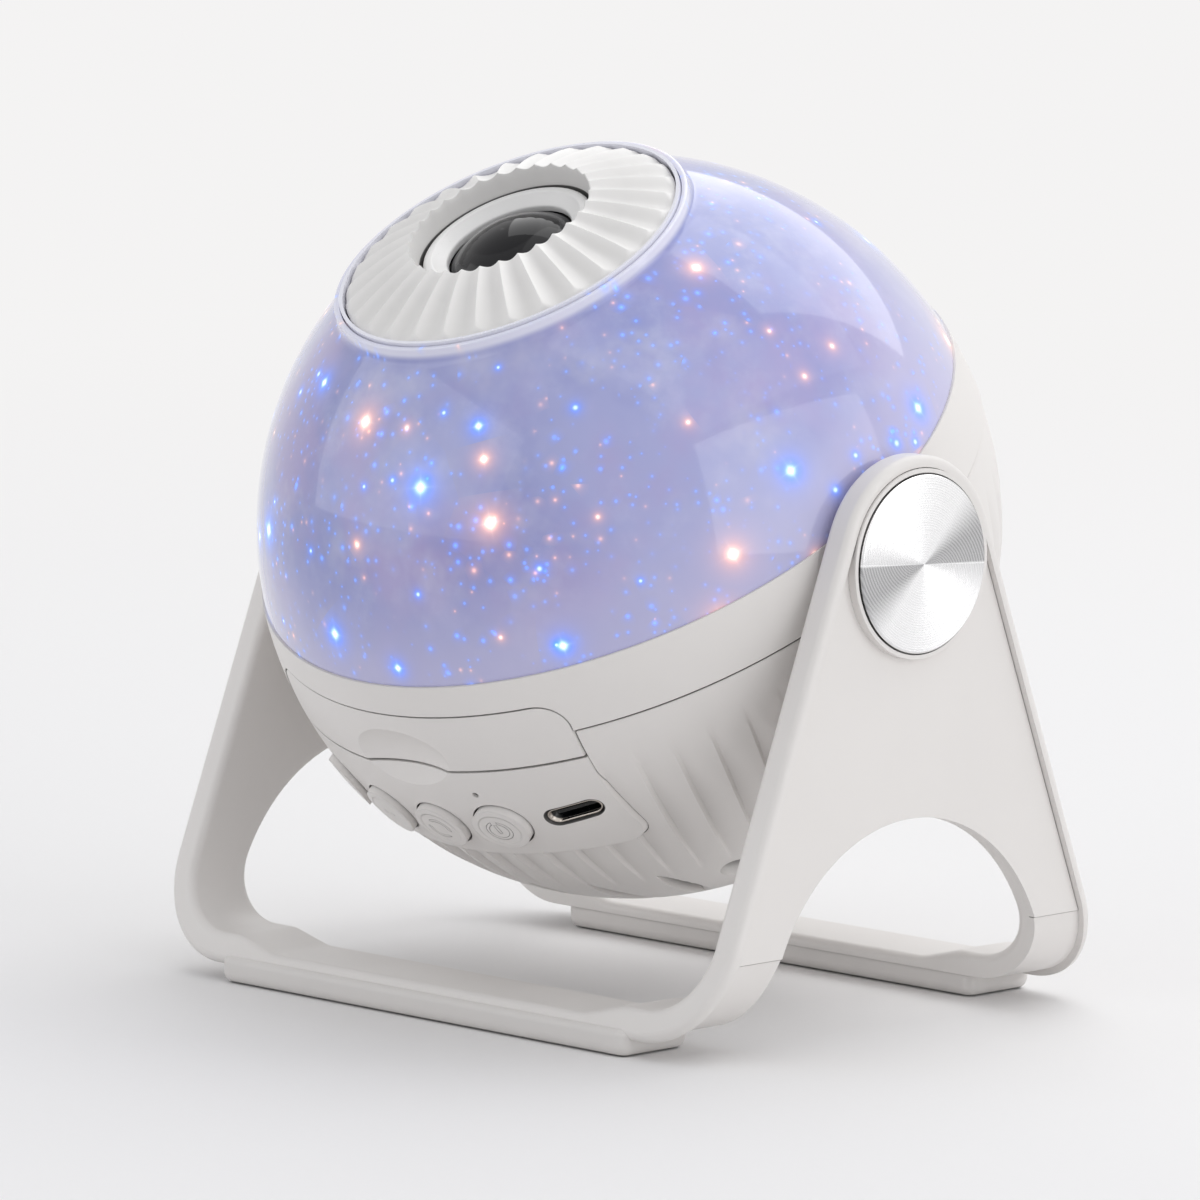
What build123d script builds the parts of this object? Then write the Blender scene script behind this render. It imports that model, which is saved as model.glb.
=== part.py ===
from build123d import *
import os
from math import acos, atan2, cos, degrees, pi, radians, sin, sqrt

# Tabletop planetarium projector: a globe that tilts between the two sides of an A-shaped stand.
# Millimetres and degrees. +Z is up, the lens leans towards -Y, and the globe tilts about X.

# Globe
globe_radius = 60.0
globe_lean = 30.0
pivot_height = 75.0
shell_wall = 2.2
dome_wall = 2.0
dome_foot_height = 10.6
dome_hole_radius = 28.9
neck_wall = 1.0
neck_drop = 5.6
neck_blend = 1.8
belt_proud = 0.3
liner_gap = 0.4
liner_wall = 1.0
liner_lip_gap = 1.0
ledge_width = 2.6
ledge_thickness = 1.7
flat_depth = 2.0

# Clearances
running_gap = 0.3
pivot_fit = 0.05
seat_gap = 0.1
panel_gap = 0.12

# Stand
side_gap = 1.2
ribbon_thickness = 5.0
head_radius = 17.0
foot_half_depth = 47.4
arch_radius = 31.4
arch_centre_height = 3.3
corner_radius = 15.6
edge_round = 1.3
rim_width = 1.9
rim_height = 1.1
recess_depth = 2.4
recess_bottom_height = 15.6
bar_drop = 2.0
bar_ramp_length = 8.0
bar_ramp_gap = 4.6
bar_ramp_round = 8.0
pad_thickness = 2.7
pad_height = 4.4
pad_reach = 46.8
pad_inset = 0.5
pad_end_gap = 17.7
pad_corner = 2.2
pad_foot_round = 1.9
pad_top_round = 1.2

# Pivot
shank_radius = 4.0
screw_head_radius = 8.0
screw_head_height = 1.7
hex_key_width = 4.0
hex_key_depth = 1.2
trunnion_radius = 8.0
trunnion_length = 10.0
trunnion_flange_radius = 11.0
trunnion_flange_thickness = 2.0
boss_radius = 13.0
boss_thickness = 3.5
washer_thickness = 1.05
washer_radius = 11.0

# Metal cap discs
cap_radius = 14.05
cap_thickness = 1.5
cap_chamfer = 0.3
cap_proud = 1.0
cap_side_gap = 0.25
cap_ledge_radius = 12.5
collar_ring_proud = 1.5

# Focus ring and its fluting
ring_proud = 1.6
ring_radius = 27.9
ring_mouth = 15.2
ring_bore = 14.8
ring_wall = 2.4
ring_rim_width = 1.8
ring_rim_drop = 8.0
hub_radius = 17.7
hub_drop = 15.2
bead_height = 1.2
bead_proud = 1.0
flute_count = 30
flute_inner_reach = 13.0
flute_middle_reach = 20.0
flute_outer_reach = 26.2
flute_end_reach = 27.7
flute_depth = 0.95
flute_end_depth = 0.2
flute_middle_share = 0.7
flute_fill = 0.94
tool_overrun = 1.0

# Fixed lens collar
flange_drop = 8.4
flange_thickness = 1.6
skirt_wall = 1.5
lip_gap = 0.16186
lip_drop = 12.5
lip_thickness = 1.5
collar_wall = 2.0
collar_drop = 26.0
step_thickness = 1.5
key_width = 2.4
key_proud = 1.5
key_length = 4.0
key_drop = 23.5
trim_proud = 0.5

# Lens barrel and lenses
barrel_radius = 14.3
barrel_drop = 3.8
barrel_foot_drop = 24.5
barrel_bore = 12.0
focus_travel = 1.5
barrel_light_bore = 10.0
front_seat_drop = 9.0
front_lens_edge = 2.0
front_lens_dome_radius = 11.0
front_lens_curve = 16.0
retainer_step = 0.3
retainer_bevel = 1.3
retainer_relief = 0.8
retainer_mouth = 10.4
retainer_land = 11.6
rear_seat_drop = 19.5
rear_lens_edge = 1.6
rear_lens_dome_radius = 9.0
rear_lens_curve = 16.0
rear_ring_height = 1.6
lens_fit = 0.1

# Drawer and control panel
panel_half_width = 32.3
drawer_top = 5.5
split_height = -5.3
panel_bottom = -25.1
drawer_corner = 5.0
panel_corner = 3.8
front_proud = 0.2
front_thickness = 4.0
tray_half_width = 29.5
tray_back = 34.0
tray_thickness = 3.5
disc_radius = 25.0
disc_thickness = 2.4
disc_seat_depth = 2.0
disc_light_radius = 15.0
tray_light_radius = 18.0
film_thickness = 0.8
scoop_half_width = 10.0
scoop_half_height = 5.9
scoop_depth = 2.2
scoop_height = -3.5
finger_notch_radius = 7.0
tab_reach = 2.0
tab_thickness = 1.3
tray_front_sink = 1.0

# Buttons and socket
button_dip = 17.1
button_radius = 4.75
button_pitch = 12.6
button_proud = 1.3
button_travel = 0.8
button_flange = 1.1
button_flange_thickness = 1.0
stem_radius = 1.5
shortest_stem = 2.143756
board_thickness = 1.6
board_half_width = 29.5
board_tray_gap = 0.57113
board_bottom = -9.0
switch_width = 4.5
switch_height = 2.0
plunger_radius = 1.2
plunger_height = 1.0
usb_offset = 25.4
usb_width = 8.94
usb_height = 3.26
usb_margin = 0.33
usb_wall = 0.3
usb_sink = 0.3
usb_length = 9.0
usb_pocket = 6.5
usb_tongue_width = 6.6
usb_tongue_height = 0.8
light_offset = 11.7
light_rise = 7.4
light_radius = 0.45
light_sink = 0.4
post_radius = 2.2
post_offset = 18.9
post_drop = 6.5
board_screw_radius = 1.0
board_screw_head = 1.8
board_screw_head_height = 1.2
board_screw_length = 6.0

# Chassis, light engine
chassis_floor = -8.0
chassis_thickness = 2.0
chassis_board_gap = 0.73807
rail_back = 38.0
rail_wall = 2.5
rail_lip = 2.4
rail_lip_thickness = 1.5
rail_seat_width = 2.8
trunnion_slot_depth = 11.5
chassis_post_radius = 3.0
tunnel_bore = 13.0
tunnel_wall = 3.5
tunnel_flange = 19.0
tunnel_flange_thickness = 2.2
tunnel_seat_depth = 4.0
condenser_radius = 14.9
condenser_edge = 2.0
condenser_dome_radius = 14.0
condenser_curve = 20.0
led_board_top = -28.4
led_board_thickness = 1.6
led_board_radius = 18.0
emitter_size = 6.0
emitter_height = 1.4
sink_height = 14.0
fin_count = 9
fin_pitch = 3.6
fin_thickness = 1.2
sink_base = 3.0
halo_board_height = 6.0
halo_board_thickness = 1.6
halo_outer_radius = 46.0
halo_inner_radius = 33.0
halo_post_radius = 2.2
halo_post_reach = 41.0
halo_post_angle = 30.0
halo_led_count = 12
halo_led_reach = 39.5
halo_led_size = 3.0
halo_led_height = 0.9

# Bowl relief
groove_facets = 7
groove_overshoot = 1.15
pleat_count = 60
pleat_from = 95.5
pleat_to = 130.0
pleat_depth = 0.75
pleat_width = 4.3
vents_per_quarter = 5
vent_spacing = 15.0
vent_from = 127.8
vent_to = 149.0
vent_depth = 1.5
vent_width = 3.2
well_angle = 134.5
first_well = 45.0
well_radius = 2.8
well_wall = 1.5
well_floor_height = -32.0
well_floor_thickness = 2.0
bowl_screw_head = 2.4
bowl_screw_head_height = 1.8
bowl_screw_radius = 1.4
bowl_screw_length = 12.0

# ---------------------------------------------------------------- frames
pivot = Vector(0, 0, pivot_height)
pole = Vector(0, -sin(radians(globe_lean)), cos(radians(globe_lean)))
ahead = Vector(0, -cos(radians(globe_lean)), -sin(radians(globe_lean)))
button_way = ahead * cos(radians(button_dip)) - pole * sin(radians(button_dip))

# Sketches on equator_plane have the pole upwards; on front_plane the drawer slides out towards the eye.
equator_plane = Plane(origin=pivot, x_dir=(1, 0, 0), z_dir=pole)
front_plane = Plane(origin=pivot, x_dir=(1, 0, 0), z_dir=ahead)
button_plane = Plane(origin=pivot, x_dir=(1, 0, 0), z_dir=button_way)
globe_axis = Axis(pivot, pole)
sides = {"left": -1, "right": 1}

inner_radius = globe_radius - shell_wall
front_radius = globe_radius + front_proud
flat_face_x = globe_radius - flat_depth
side_inner_x = flat_face_x + side_gap
trunnion_slot_x = flat_face_x - trunnion_slot_depth
frame_half_width = side_inner_x + ribbon_thickness
recess_floor_x = frame_half_width - recess_depth


def reach_at(radius, distance):
    """How far a sphere of this radius reaches where it is this far from its centre plane."""
    return sqrt(radius**2 - distance**2)


def write(builder, name):
    builder.part.label = name
    export_step(builder.part, f"parts/{name}.step")


def ball(radius, mode):
    """Keep or cut what lies inside a sphere about the globe's centre."""
    with Locations(equator_plane):
        Sphere(radius, mode=mode)


def ring_about_pole(points):
    """Turn a closed outline, given as reach and height, about the globe's axis."""
    with BuildSketch(front_plane) as profile:
        with BuildLine():
            Polyline(*points, close=True)
        make_face()
    revolve(profile.sketch, axis=globe_axis)


def round_on_hinge(x, radius, depth, mode=Mode.ADD):
    """Add or cut a disc about the hinge, from this X over this depth."""
    with BuildSketch(Plane.YZ.offset(x)) as disc:
        with Locations((0, pivot_height)):
            Circle(radius)
    extrude(disc.sketch, amount=depth, mode=mode)


def flatten_sides():
    """Cut the flats that face the stand."""
    for side in sides.values():
        round_on_hinge(side * flat_face_x, globe_radius / 2, side * globe_radius, Mode.SUBTRACT)


def pivot_bosses(keep):
    """Thicken the shell behind both flats and bore it for the trunnions, on one side of the seam."""
    for side in sides.values():
        round_on_hinge(side * flat_face_x, boss_radius, -side * boss_thickness)
    split(bisect_by=equator_plane, keep=keep)
    for side in sides.values():
        bore_depth = side * (globe_radius - trunnion_slot_x)
        round_on_hinge(side * trunnion_slot_x, trunnion_radius + seat_gap, bore_depth, Mode.SUBTRACT)


os.makedirs("parts", exist_ok=True)

# ---------------------------------------------------------------- stand
# The flank is the straight edge of a side, tangent to the head; flank_angle is its normal's rise.
flank_angle = degrees(
    atan2(-pivot_height, foot_half_depth) + acos(head_radius / sqrt(foot_half_depth**2 + pivot_height**2))
)


def side_outline(inset, bottom):
    """Sketch a side of the stand this far inside its flanks, down to a height, with its arch."""
    radius = head_radius - inset
    tip = Vector(radius * cos(radians(flank_angle)), pivot_height + radius * sin(radians(flank_angle)))
    foot = Vector(tip.X + (tip.Y - bottom) * sin(radians(flank_angle)) / cos(radians(flank_angle)), bottom)
    with BuildLine() as edge:
        CenterArc((0, pivot_height), radius, flank_angle, 180 - 2 * flank_angle)
        Polyline((-tip.X, tip.Y), (-foot.X, bottom), (foot.X, bottom), (tip.X, tip.Y))
    make_face(edge.edges())
    with Locations((0, arch_centre_height)):
        Circle(arch_radius, mode=Mode.SUBTRACT)
    Rectangle(2 * arch_radius, 2 * arch_centre_height, mode=Mode.SUBTRACT)


def u_profile(inset):
    """Sketch the stand's U as seen from the front, this far inside its outer face."""
    with BuildSketch(Plane.XZ) as profile:
        with Locations((0, pad_thickness + inset)):
            Rectangle(2 * (frame_half_width - inset), 2 * pivot_height, align=(Align.CENTER, Align.MIN))
        fillet(profile.vertices().group_by(Axis.Y)[0], corner_radius - inset)
    return profile.sketch


# Each bar dips between its ramps, where its pad carries it.
bar_top = pad_thickness + ribbon_thickness
bar_ramp_end = frame_half_width - corner_radius - bar_ramp_gap
bar_low_half_length = bar_ramp_end - bar_ramp_length
with BuildSketch(Plane.XZ) as hollow:
    add(u_profile(ribbon_thickness))
    with BuildLine() as dip:
        Polyline(
            (-bar_ramp_end, bar_top),
            (-bar_low_half_length, bar_top - bar_drop),
            (bar_low_half_length, bar_top - bar_drop),
            (bar_ramp_end, bar_top),
            close=True,
        )
    make_face(dip.edges())
    fillet(hollow.vertices().filter_by(lambda v: abs(v.X) < bar_ramp_end + tool_overrun), bar_ramp_round)

# The outer face lies inside a raised rim, round the bends and under the bars.
with BuildPart() as rim_relief:
    extrude(u_profile(0), amount=globe_radius, both=True)
    extrude(u_profile(rim_height), amount=globe_radius, both=True, mode=Mode.SUBTRACT)
    with BuildSketch(Plane.YZ):
        side_outline(rim_width, 0)
    extrude(amount=frame_half_width, both=True, mode=Mode.INTERSECT)

with BuildPart() as stand_frame:
    extrude(u_profile(0), amount=globe_radius, both=True)
    extrude(hollow.sketch, amount=globe_radius, both=True, mode=Mode.SUBTRACT)
    with BuildSketch(Plane.YZ):
        side_outline(0, 0)
    extrude(amount=frame_half_width, both=True, mode=Mode.INTERSECT)
    fillet(stand_frame.edges(), edge_round)
    add(rim_relief.part, mode=Mode.SUBTRACT)
    for side in sides.values():
        with BuildSketch(Plane.YZ.offset(side * frame_half_width)) as recess:
            side_outline(rim_width, recess_bottom_height)
        extrude(amount=-side * recess_depth, mode=Mode.SUBTRACT)
    with BuildSketch(Plane.YZ):
        with Locations((0, pivot_height)):
            Circle(shank_radius + pivot_fit)
    extrude(amount=frame_half_width, both=True, mode=Mode.SUBTRACT)
write(stand_frame, "stand_frame")

cover_face_x = frame_half_width - rim_height
boss_face_x = cover_face_x + collar_ring_proud
cap_face_x = frame_half_width + cap_proud
cap_seat_x = cap_face_x - cap_thickness
screw_seat_x = recess_floor_x + seat_gap
trunnion_end_x = flat_face_x - trunnion_length
trunnion_flange_x = flat_face_x - boss_thickness - seat_gap

for name, side in sides.items():
    with BuildPart() as side_cover:
        with BuildSketch(Plane.YZ.offset(side * recess_floor_x)):
            side_outline(rim_width + seat_gap, recess_bottom_height + seat_gap)
        extrude(amount=side * (cover_face_x - recess_floor_x))
        boss_ring_radius = head_radius - rim_width - seat_gap
        round_on_hinge(side * recess_floor_x, boss_ring_radius, side * (boss_face_x - recess_floor_x))
        round_on_hinge(side * cap_seat_x, cap_radius + cap_side_gap, side * cap_thickness, Mode.SUBTRACT)
        round_on_hinge(side * recess_floor_x, cap_ledge_radius, side * ribbon_thickness, Mode.SUBTRACT)
    write(side_cover, f"{name}_side_cover")

    with BuildPart() as cap_disc:
        round_on_hinge(side * cap_seat_x, cap_radius, side * cap_thickness)
        chamfer(cap_disc.faces().sort_by(Axis.X)[-1 if side > 0 else 0].edges(), cap_chamfer)
    write(cap_disc, f"{name}_cap_disc")

    with BuildPart() as washer:
        washer_depth = -side * washer_thickness
        round_on_hinge(side * side_inner_x, washer_radius, washer_depth)
        round_on_hinge(side * side_inner_x, shank_radius + running_gap, washer_depth, Mode.SUBTRACT)
    write(washer, f"{name}_friction_washer")

    with BuildPart() as trunnion:
        round_on_hinge(side * flat_face_x, trunnion_radius, -side * trunnion_length)
        round_on_hinge(side * trunnion_flange_x, trunnion_flange_radius, -side * trunnion_flange_thickness)
        round_on_hinge(side * flat_face_x, shank_radius + pivot_fit, -side * trunnion_length, Mode.SUBTRACT)
    write(trunnion, f"{name}_trunnion")

    with BuildPart() as pivot_screw:
        round_on_hinge(side * screw_seat_x, screw_head_radius, side * screw_head_height)
        round_on_hinge(side * screw_seat_x, shank_radius, -side * (screw_seat_x - trunnion_end_x))
        with BuildSketch(Plane.YZ.offset(side * (screw_seat_x + screw_head_height))):
            with Locations((0, pivot_height)):
                RegularPolygon(hex_key_width / 2, 6, major_radius=False)
        extrude(amount=-side * hex_key_depth, mode=Mode.SUBTRACT)
    write(pivot_screw, f"{name}_pivot_screw")

pad_back = arch_radius + pad_inset
pad_half_length = frame_half_width - pad_end_gap

for name, way in {"front": -1, "rear": 1}.items():
    with BuildPart() as foot_pad:
        with BuildSketch(Plane.XY):
            with Locations((0, way * (pad_back + pad_reach) / 2)):
                RectangleRounded(2 * pad_half_length, pad_reach - pad_back, pad_corner)
        extrude(amount=pad_height)
        fillet(foot_pad.faces().sort_by(Axis.Z)[-1].edges(), pad_top_round)
        fillet(foot_pad.faces().sort_by(Axis.Z)[0].edges(), pad_foot_round)
        add(stand_frame.part, mode=Mode.SUBTRACT)
    write(foot_pad, f"{name}_foot_pad")

# ---------------------------------------------------------------- globe shells
well_reach = globe_radius * sin(radians(well_angle))
belt_radius = globe_radius + belt_proud
liner_outer = globe_radius - dome_wall - liner_gap
liner_foot = dome_foot_height - running_gap

# A drop is measured down from the bare globe's crown.
neck_top = globe_radius - neck_drop
lip_top = globe_radius - lip_drop
lip_radius = reach_at(globe_radius - dome_wall - lip_gap, lip_top)
liner_top_radius = lip_radius + liner_lip_gap


def front_field(low, high, low_corner, high_corner, grow=0.0):
    """Sketch a field of the globe's front between two heights, with its own corner radii."""
    with BuildSketch(front_plane) as field:
        with Locations((0, low - grow)):
            Rectangle(2 * (panel_half_width + grow), high - low + 2 * grow, align=(Align.CENTER, Align.MIN))
        for corner, end in ((low_corner, 0), (high_corner, -1)):
            if corner:
                fillet(field.vertices().group_by(Axis.Y)[end], corner + grow)
    return field.sketch


def front_opening():
    """Open the front of a shell for the drawer and the control panel."""
    field = front_field(panel_bottom, drawer_top, panel_corner, drawer_corner)
    extrude(field, amount=2 * globe_radius, mode=Mode.SUBTRACT)


def sawtooth_groove(start, end, depth, width):
    """A groove of flat facets down the front meridian of a globe at the origin, steep on one side."""
    middle = (start + end) / 2
    reach = groove_overshoot * (end - start) / 2
    path = []
    for step in range(groove_facets + 1):
        away = reach * (2 * step / groove_facets - 1)
        radius = globe_radius - depth * (1 - (2 * away / (end - start)) ** 2)
        slant = radians(middle + away)
        path.append((-radius * sin(slant), radius * cos(slant)))
    outside = (globe_radius + 3 * depth) / cos(radians(reach))
    for away in (reach, -reach):
        slant = radians(middle + away)
        path.append((-outside * sin(slant), outside * cos(slant)))
    with BuildPart() as groove:
        with BuildSketch(Plane.YZ):
            with BuildLine():
                Polyline(*path, close=True)
            make_face()
        extrude(amount=width, taper=degrees(atan2(depth, width)))
    return groove.part


with BuildPart(equator_plane) as belt_ring:
    Sphere(belt_radius)
    Sphere(inner_radius, mode=Mode.SUBTRACT)
    pivot_bosses(Keep.TOP)
    with BuildSketch(equator_plane.offset(dome_foot_height)):
        Circle(2 * globe_radius)
    extrude(amount=2 * globe_radius, mode=Mode.SUBTRACT)
    with BuildSketch(equator_plane.offset(liner_foot)):
        Circle(inner_radius)
        Circle(inner_radius - ledge_width, mode=Mode.SUBTRACT)
    extrude(amount=-ledge_thickness)
    with BuildSketch(equator_plane.offset(liner_foot)):
        Circle(reach_at(inner_radius, liner_foot))
    extrude(amount=globe_radius, mode=Mode.SUBTRACT)
    flatten_sides()
    front_opening()
write(belt_ring, "belt_ring")

neck_radius = dome_hole_radius + neck_wall
with BuildPart(equator_plane) as dome_cover:
    Sphere(globe_radius)
    with BuildSketch(equator_plane):
        Circle(neck_radius)
    extrude(amount=neck_top)
    neck_side = dome_cover.faces().filter_by(GeomType.CYLINDER)[0]
    fillet(neck_side.edges().filter_by(GeomType.CIRCLE).sort_by(globe_axis)[0], neck_blend)
    Sphere(globe_radius - dome_wall, mode=Mode.SUBTRACT)
    split(bisect_by=equator_plane.offset(dome_foot_height), keep=Keep.TOP)
    with BuildSketch(equator_plane):
        Circle(dome_hole_radius)
    extrude(amount=2 * globe_radius, mode=Mode.SUBTRACT)
    flatten_sides()
write(dome_cover, "dome_cover")

with BuildPart(equator_plane) as star_liner:
    Sphere(liner_outer)
    Sphere(liner_outer - liner_wall, mode=Mode.SUBTRACT)
    split(bisect_by=equator_plane.offset(liner_foot), keep=Keep.TOP)
    with BuildSketch(equator_plane):
        Circle(liner_top_radius)
    extrude(amount=2 * globe_radius, mode=Mode.SUBTRACT)
write(star_liner, "star_liner")

pleat = sawtooth_groove(pleat_from, pleat_to, pleat_depth, pleat_width)
vent = sawtooth_groove(vent_from, vent_to, vent_depth, vent_width)
well_top = well_floor_height + well_floor_thickness
quarter = 360 / 4
pleat_spacing = 360 / pleat_count

# Grooved spheres have their poles on the hinge and their seam on the far side, so neither crosses a groove.
seam_up = (0, -90, 0)
seam_down = (0, 90, 0)

with BuildPart(equator_plane) as lower_bowl:
    Sphere(globe_radius, rotation=seam_up)
    Sphere(inner_radius, rotation=seam_up, mode=Mode.SUBTRACT)
    pivot_bosses(Keep.BOTTOM)
    with BuildSketch(equator_plane.offset(well_top)):
        with PolarLocations(well_reach, 4, start_angle=first_well):
            Circle(well_radius + well_wall)
    extrude(amount=-globe_radius)
    Sphere(globe_radius, rotation=seam_up, mode=Mode.INTERSECT)
    with BuildSketch(equator_plane.offset(well_floor_height)):
        with PolarLocations(well_reach, 4, start_angle=first_well):
            Circle(well_radius)
    extrude(amount=-globe_radius, mode=Mode.SUBTRACT)
    with BuildSketch(equator_plane.offset(well_top)):
        with PolarLocations(well_reach, 4, start_angle=first_well):
            Circle(bowl_screw_radius + seat_gap)
    extrude(amount=-2 * well_floor_thickness, mode=Mode.SUBTRACT)
    flatten_sides()
    front_opening()
    with PolarLocations(0, pleat_count, start_angle=pleat_spacing / 2):
        add(pleat, mode=Mode.SUBTRACT)
    for turn in range(4):
        first_vent = first_well + vent_spacing + turn * quarter
        vent_span = vent_spacing * (vents_per_quarter - 1)
        with PolarLocations(0, vents_per_quarter, first_vent, vent_span, endpoint=True):
            add(vent, mode=Mode.SUBTRACT)
write(lower_bowl, "lower_bowl")

# ---------------------------------------------------------------- drawer and control panel
front_inner = front_radius - front_thickness
flange_radius = button_radius + button_flange
outer_flange_face = reach_at(front_inner, 2 * button_pitch + flange_radius) - running_gap
stem_foot = outer_flange_face - shortest_stem
board_depth = stem_foot - switch_height - plunger_height - button_travel - seat_gap
board_rise = board_depth * sin(radians(button_dip)) - tray_thickness - board_tray_gap
board_top = board_rise / cos(radians(button_dip))
scoop_chord = (scoop_half_height**2 + scoop_depth**2) / (2 * scoop_depth)
scoop_centre = pivot + pole * scoop_height
scoop_axis = Axis(scoop_centre + ahead * (front_radius + scoop_chord - scoop_depth), (1, 0, 0))
scoop_end = reach_at(front_radius, scoop_half_width)
scoop_floor = front_radius - scoop_depth

with BuildPart() as thumb_scoop:
    with BuildSketch(Plane(origin=scoop_centre, x_dir=(1, 0, 0), z_dir=-pole)):
        with BuildLine():
            ThreePointArc((-scoop_half_width, scoop_end), (0, scoop_floor), (scoop_half_width, scoop_end))
            Polyline(
                (scoop_half_width, scoop_end),
                (scoop_half_width, front_radius + scoop_chord - scoop_depth),
                (-scoop_half_width, front_radius + scoop_chord - scoop_depth),
                (-scoop_half_width, scoop_end),
            )
        make_face()
    revolve(axis=scoop_axis)

with BuildPart() as drawer_front:
    extrude(front_field(split_height, drawer_top, 0, drawer_corner, -running_gap), amount=2 * globe_radius)
    ball(front_radius, Mode.INTERSECT)
    ball(front_inner, Mode.SUBTRACT)
    add(thumb_scoop.part, mode=Mode.SUBTRACT)

with BuildPart() as disc_drawer:
    with BuildSketch(equator_plane):
        with Locations((0, tray_back)):
            Rectangle(2 * tray_half_width, tray_back + globe_radius, align=(Align.CENTER, Align.MAX))
    extrude(amount=-tray_thickness)
    ball(front_inner + tray_front_sink, Mode.INTERSECT)
    with BuildSketch(equator_plane):
        Circle(disc_radius + running_gap)
        with Locations((0, -disc_radius)):
            Circle(finger_notch_radius)
    extrude(amount=-disc_seat_depth, mode=Mode.SUBTRACT)
    with BuildSketch(equator_plane):
        Circle(tray_light_radius)
    extrude(amount=-tray_thickness, mode=Mode.SUBTRACT)
    add(drawer_front.part)
write(disc_drawer, "disc_drawer")

disc_foot = -disc_seat_depth
disc_top = disc_foot + disc_thickness
with BuildPart() as film_disc:
    with BuildSketch(equator_plane.offset(disc_foot)):
        Circle(disc_radius)
        Circle(disc_light_radius, mode=Mode.SUBTRACT)
    extrude(amount=disc_thickness)
    with BuildSketch(equator_plane.offset(disc_top)):
        Circle(disc_light_radius + film_thickness)
    extrude(amount=-film_thickness, mode=Mode.SUBTRACT)
write(film_disc, "film_disc")

with BuildPart() as star_film:
    with BuildSketch(equator_plane.offset(disc_top)):
        Circle(disc_light_radius + film_thickness - seat_gap)
    extrude(amount=-film_thickness)
write(star_film, "star_film")

button_offsets = {
    "mode_button": -2 * button_pitch,
    "timer_button": -button_pitch,
    "light_button": 0,
    "power_button": button_pitch,
}
post_places = [(-post_offset, -post_drop), (post_offset, -post_drop)]
usb_face = reach_at(front_radius, usb_offset) - usb_sink

with BuildPart() as panel_plug:
    extrude(front_field(panel_bottom, split_height, panel_corner, 0, -panel_gap), amount=2 * globe_radius)
    ball(front_radius, Mode.INTERSECT)
    ball(front_inner, Mode.SUBTRACT)

with BuildPart() as control_panel:
    extrude(front_field(panel_bottom, split_height, panel_corner, 0, tab_reach), amount=2 * globe_radius)
    split(bisect_by=equator_plane.offset(split_height - panel_gap), keep=Keep.BOTTOM)
    ball(front_inner + tab_thickness, Mode.INTERSECT)
    ball(front_inner, Mode.SUBTRACT)
    with BuildSketch(button_plane.offset(board_depth)):
        with Locations(*post_places):
            Circle(post_radius)
    extrude(amount=globe_radius - board_depth)
    ball(front_inner + tab_thickness, Mode.INTERSECT)
    add(panel_plug.part)
    add(thumb_scoop.part, mode=Mode.SUBTRACT)
    with BuildSketch(button_plane.offset(board_depth)):
        with Locations(*post_places):
            Circle(board_screw_radius)
    extrude(amount=board_screw_length, mode=Mode.SUBTRACT)
    with BuildSketch(button_plane.offset(board_depth)):
        with Locations(*[(offset, 0) for offset in button_offsets.values()]):
            Circle(button_radius + running_gap)
        with Locations((usb_offset, 0)):
            SlotOverall(usb_width + 2 * usb_margin, usb_height + 2 * usb_margin)
        with Locations((light_offset, light_rise)):
            Circle(light_radius + seat_gap)
    extrude(amount=globe_radius, mode=Mode.SUBTRACT)
write(control_panel, "control_panel")

for name, offset in button_offsets.items():
    flange_face = reach_at(front_inner, abs(offset) + flange_radius) - running_gap
    with BuildPart() as button:
        with BuildSketch(button_plane.offset(stem_foot)):
            with Locations((offset, 0)):
                Circle(stem_radius)
        extrude(amount=flange_face - stem_foot)
        with BuildSketch(button_plane.offset(flange_face)):
            with Locations((offset, 0)):
                Circle(flange_radius)
        extrude(amount=-button_flange_thickness)
        with BuildSketch(button_plane.offset(flange_face)):
            with Locations((offset, 0)):
                Circle(button_radius)
        extrude(amount=globe_radius)
        ball(globe_radius + button_proud, Mode.INTERSECT)
    write(button, name)

with BuildPart() as control_board:
    with BuildSketch(button_plane.offset(board_depth)):
        with Locations((0, board_bottom)):
            Rectangle(2 * board_half_width, board_top - board_bottom, align=(Align.CENTER, Align.MIN))
        with Locations(*post_places):
            Circle(board_screw_radius + seat_gap, mode=Mode.SUBTRACT)
    extrude(amount=-board_thickness)
write(control_board, "control_board")

with BuildPart() as board_screws:
    with BuildSketch(button_plane.offset(board_depth - board_thickness)):
        with Locations(*post_places):
            Circle(board_screw_head)
    extrude(amount=-board_screw_head_height)
    with BuildSketch(button_plane.offset(board_depth - board_thickness)):
        with Locations(*post_places):
            Circle(board_screw_radius - seat_gap / 2)
    extrude(amount=board_thickness + board_screw_length - running_gap)
write(board_screws, "board_screws")

with BuildPart() as tact_switches:
    with BuildSketch(button_plane.offset(board_depth)):
        with Locations(*[(offset, 0) for offset in button_offsets.values()]):
            Rectangle(switch_width, switch_width)
    extrude(amount=switch_height)
    with BuildSketch(button_plane.offset(board_depth + switch_height)):
        with Locations(*[(offset, 0) for offset in button_offsets.values()]):
            Circle(plunger_radius)
    extrude(amount=plunger_height)
write(tact_switches, "tact_switches")

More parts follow.
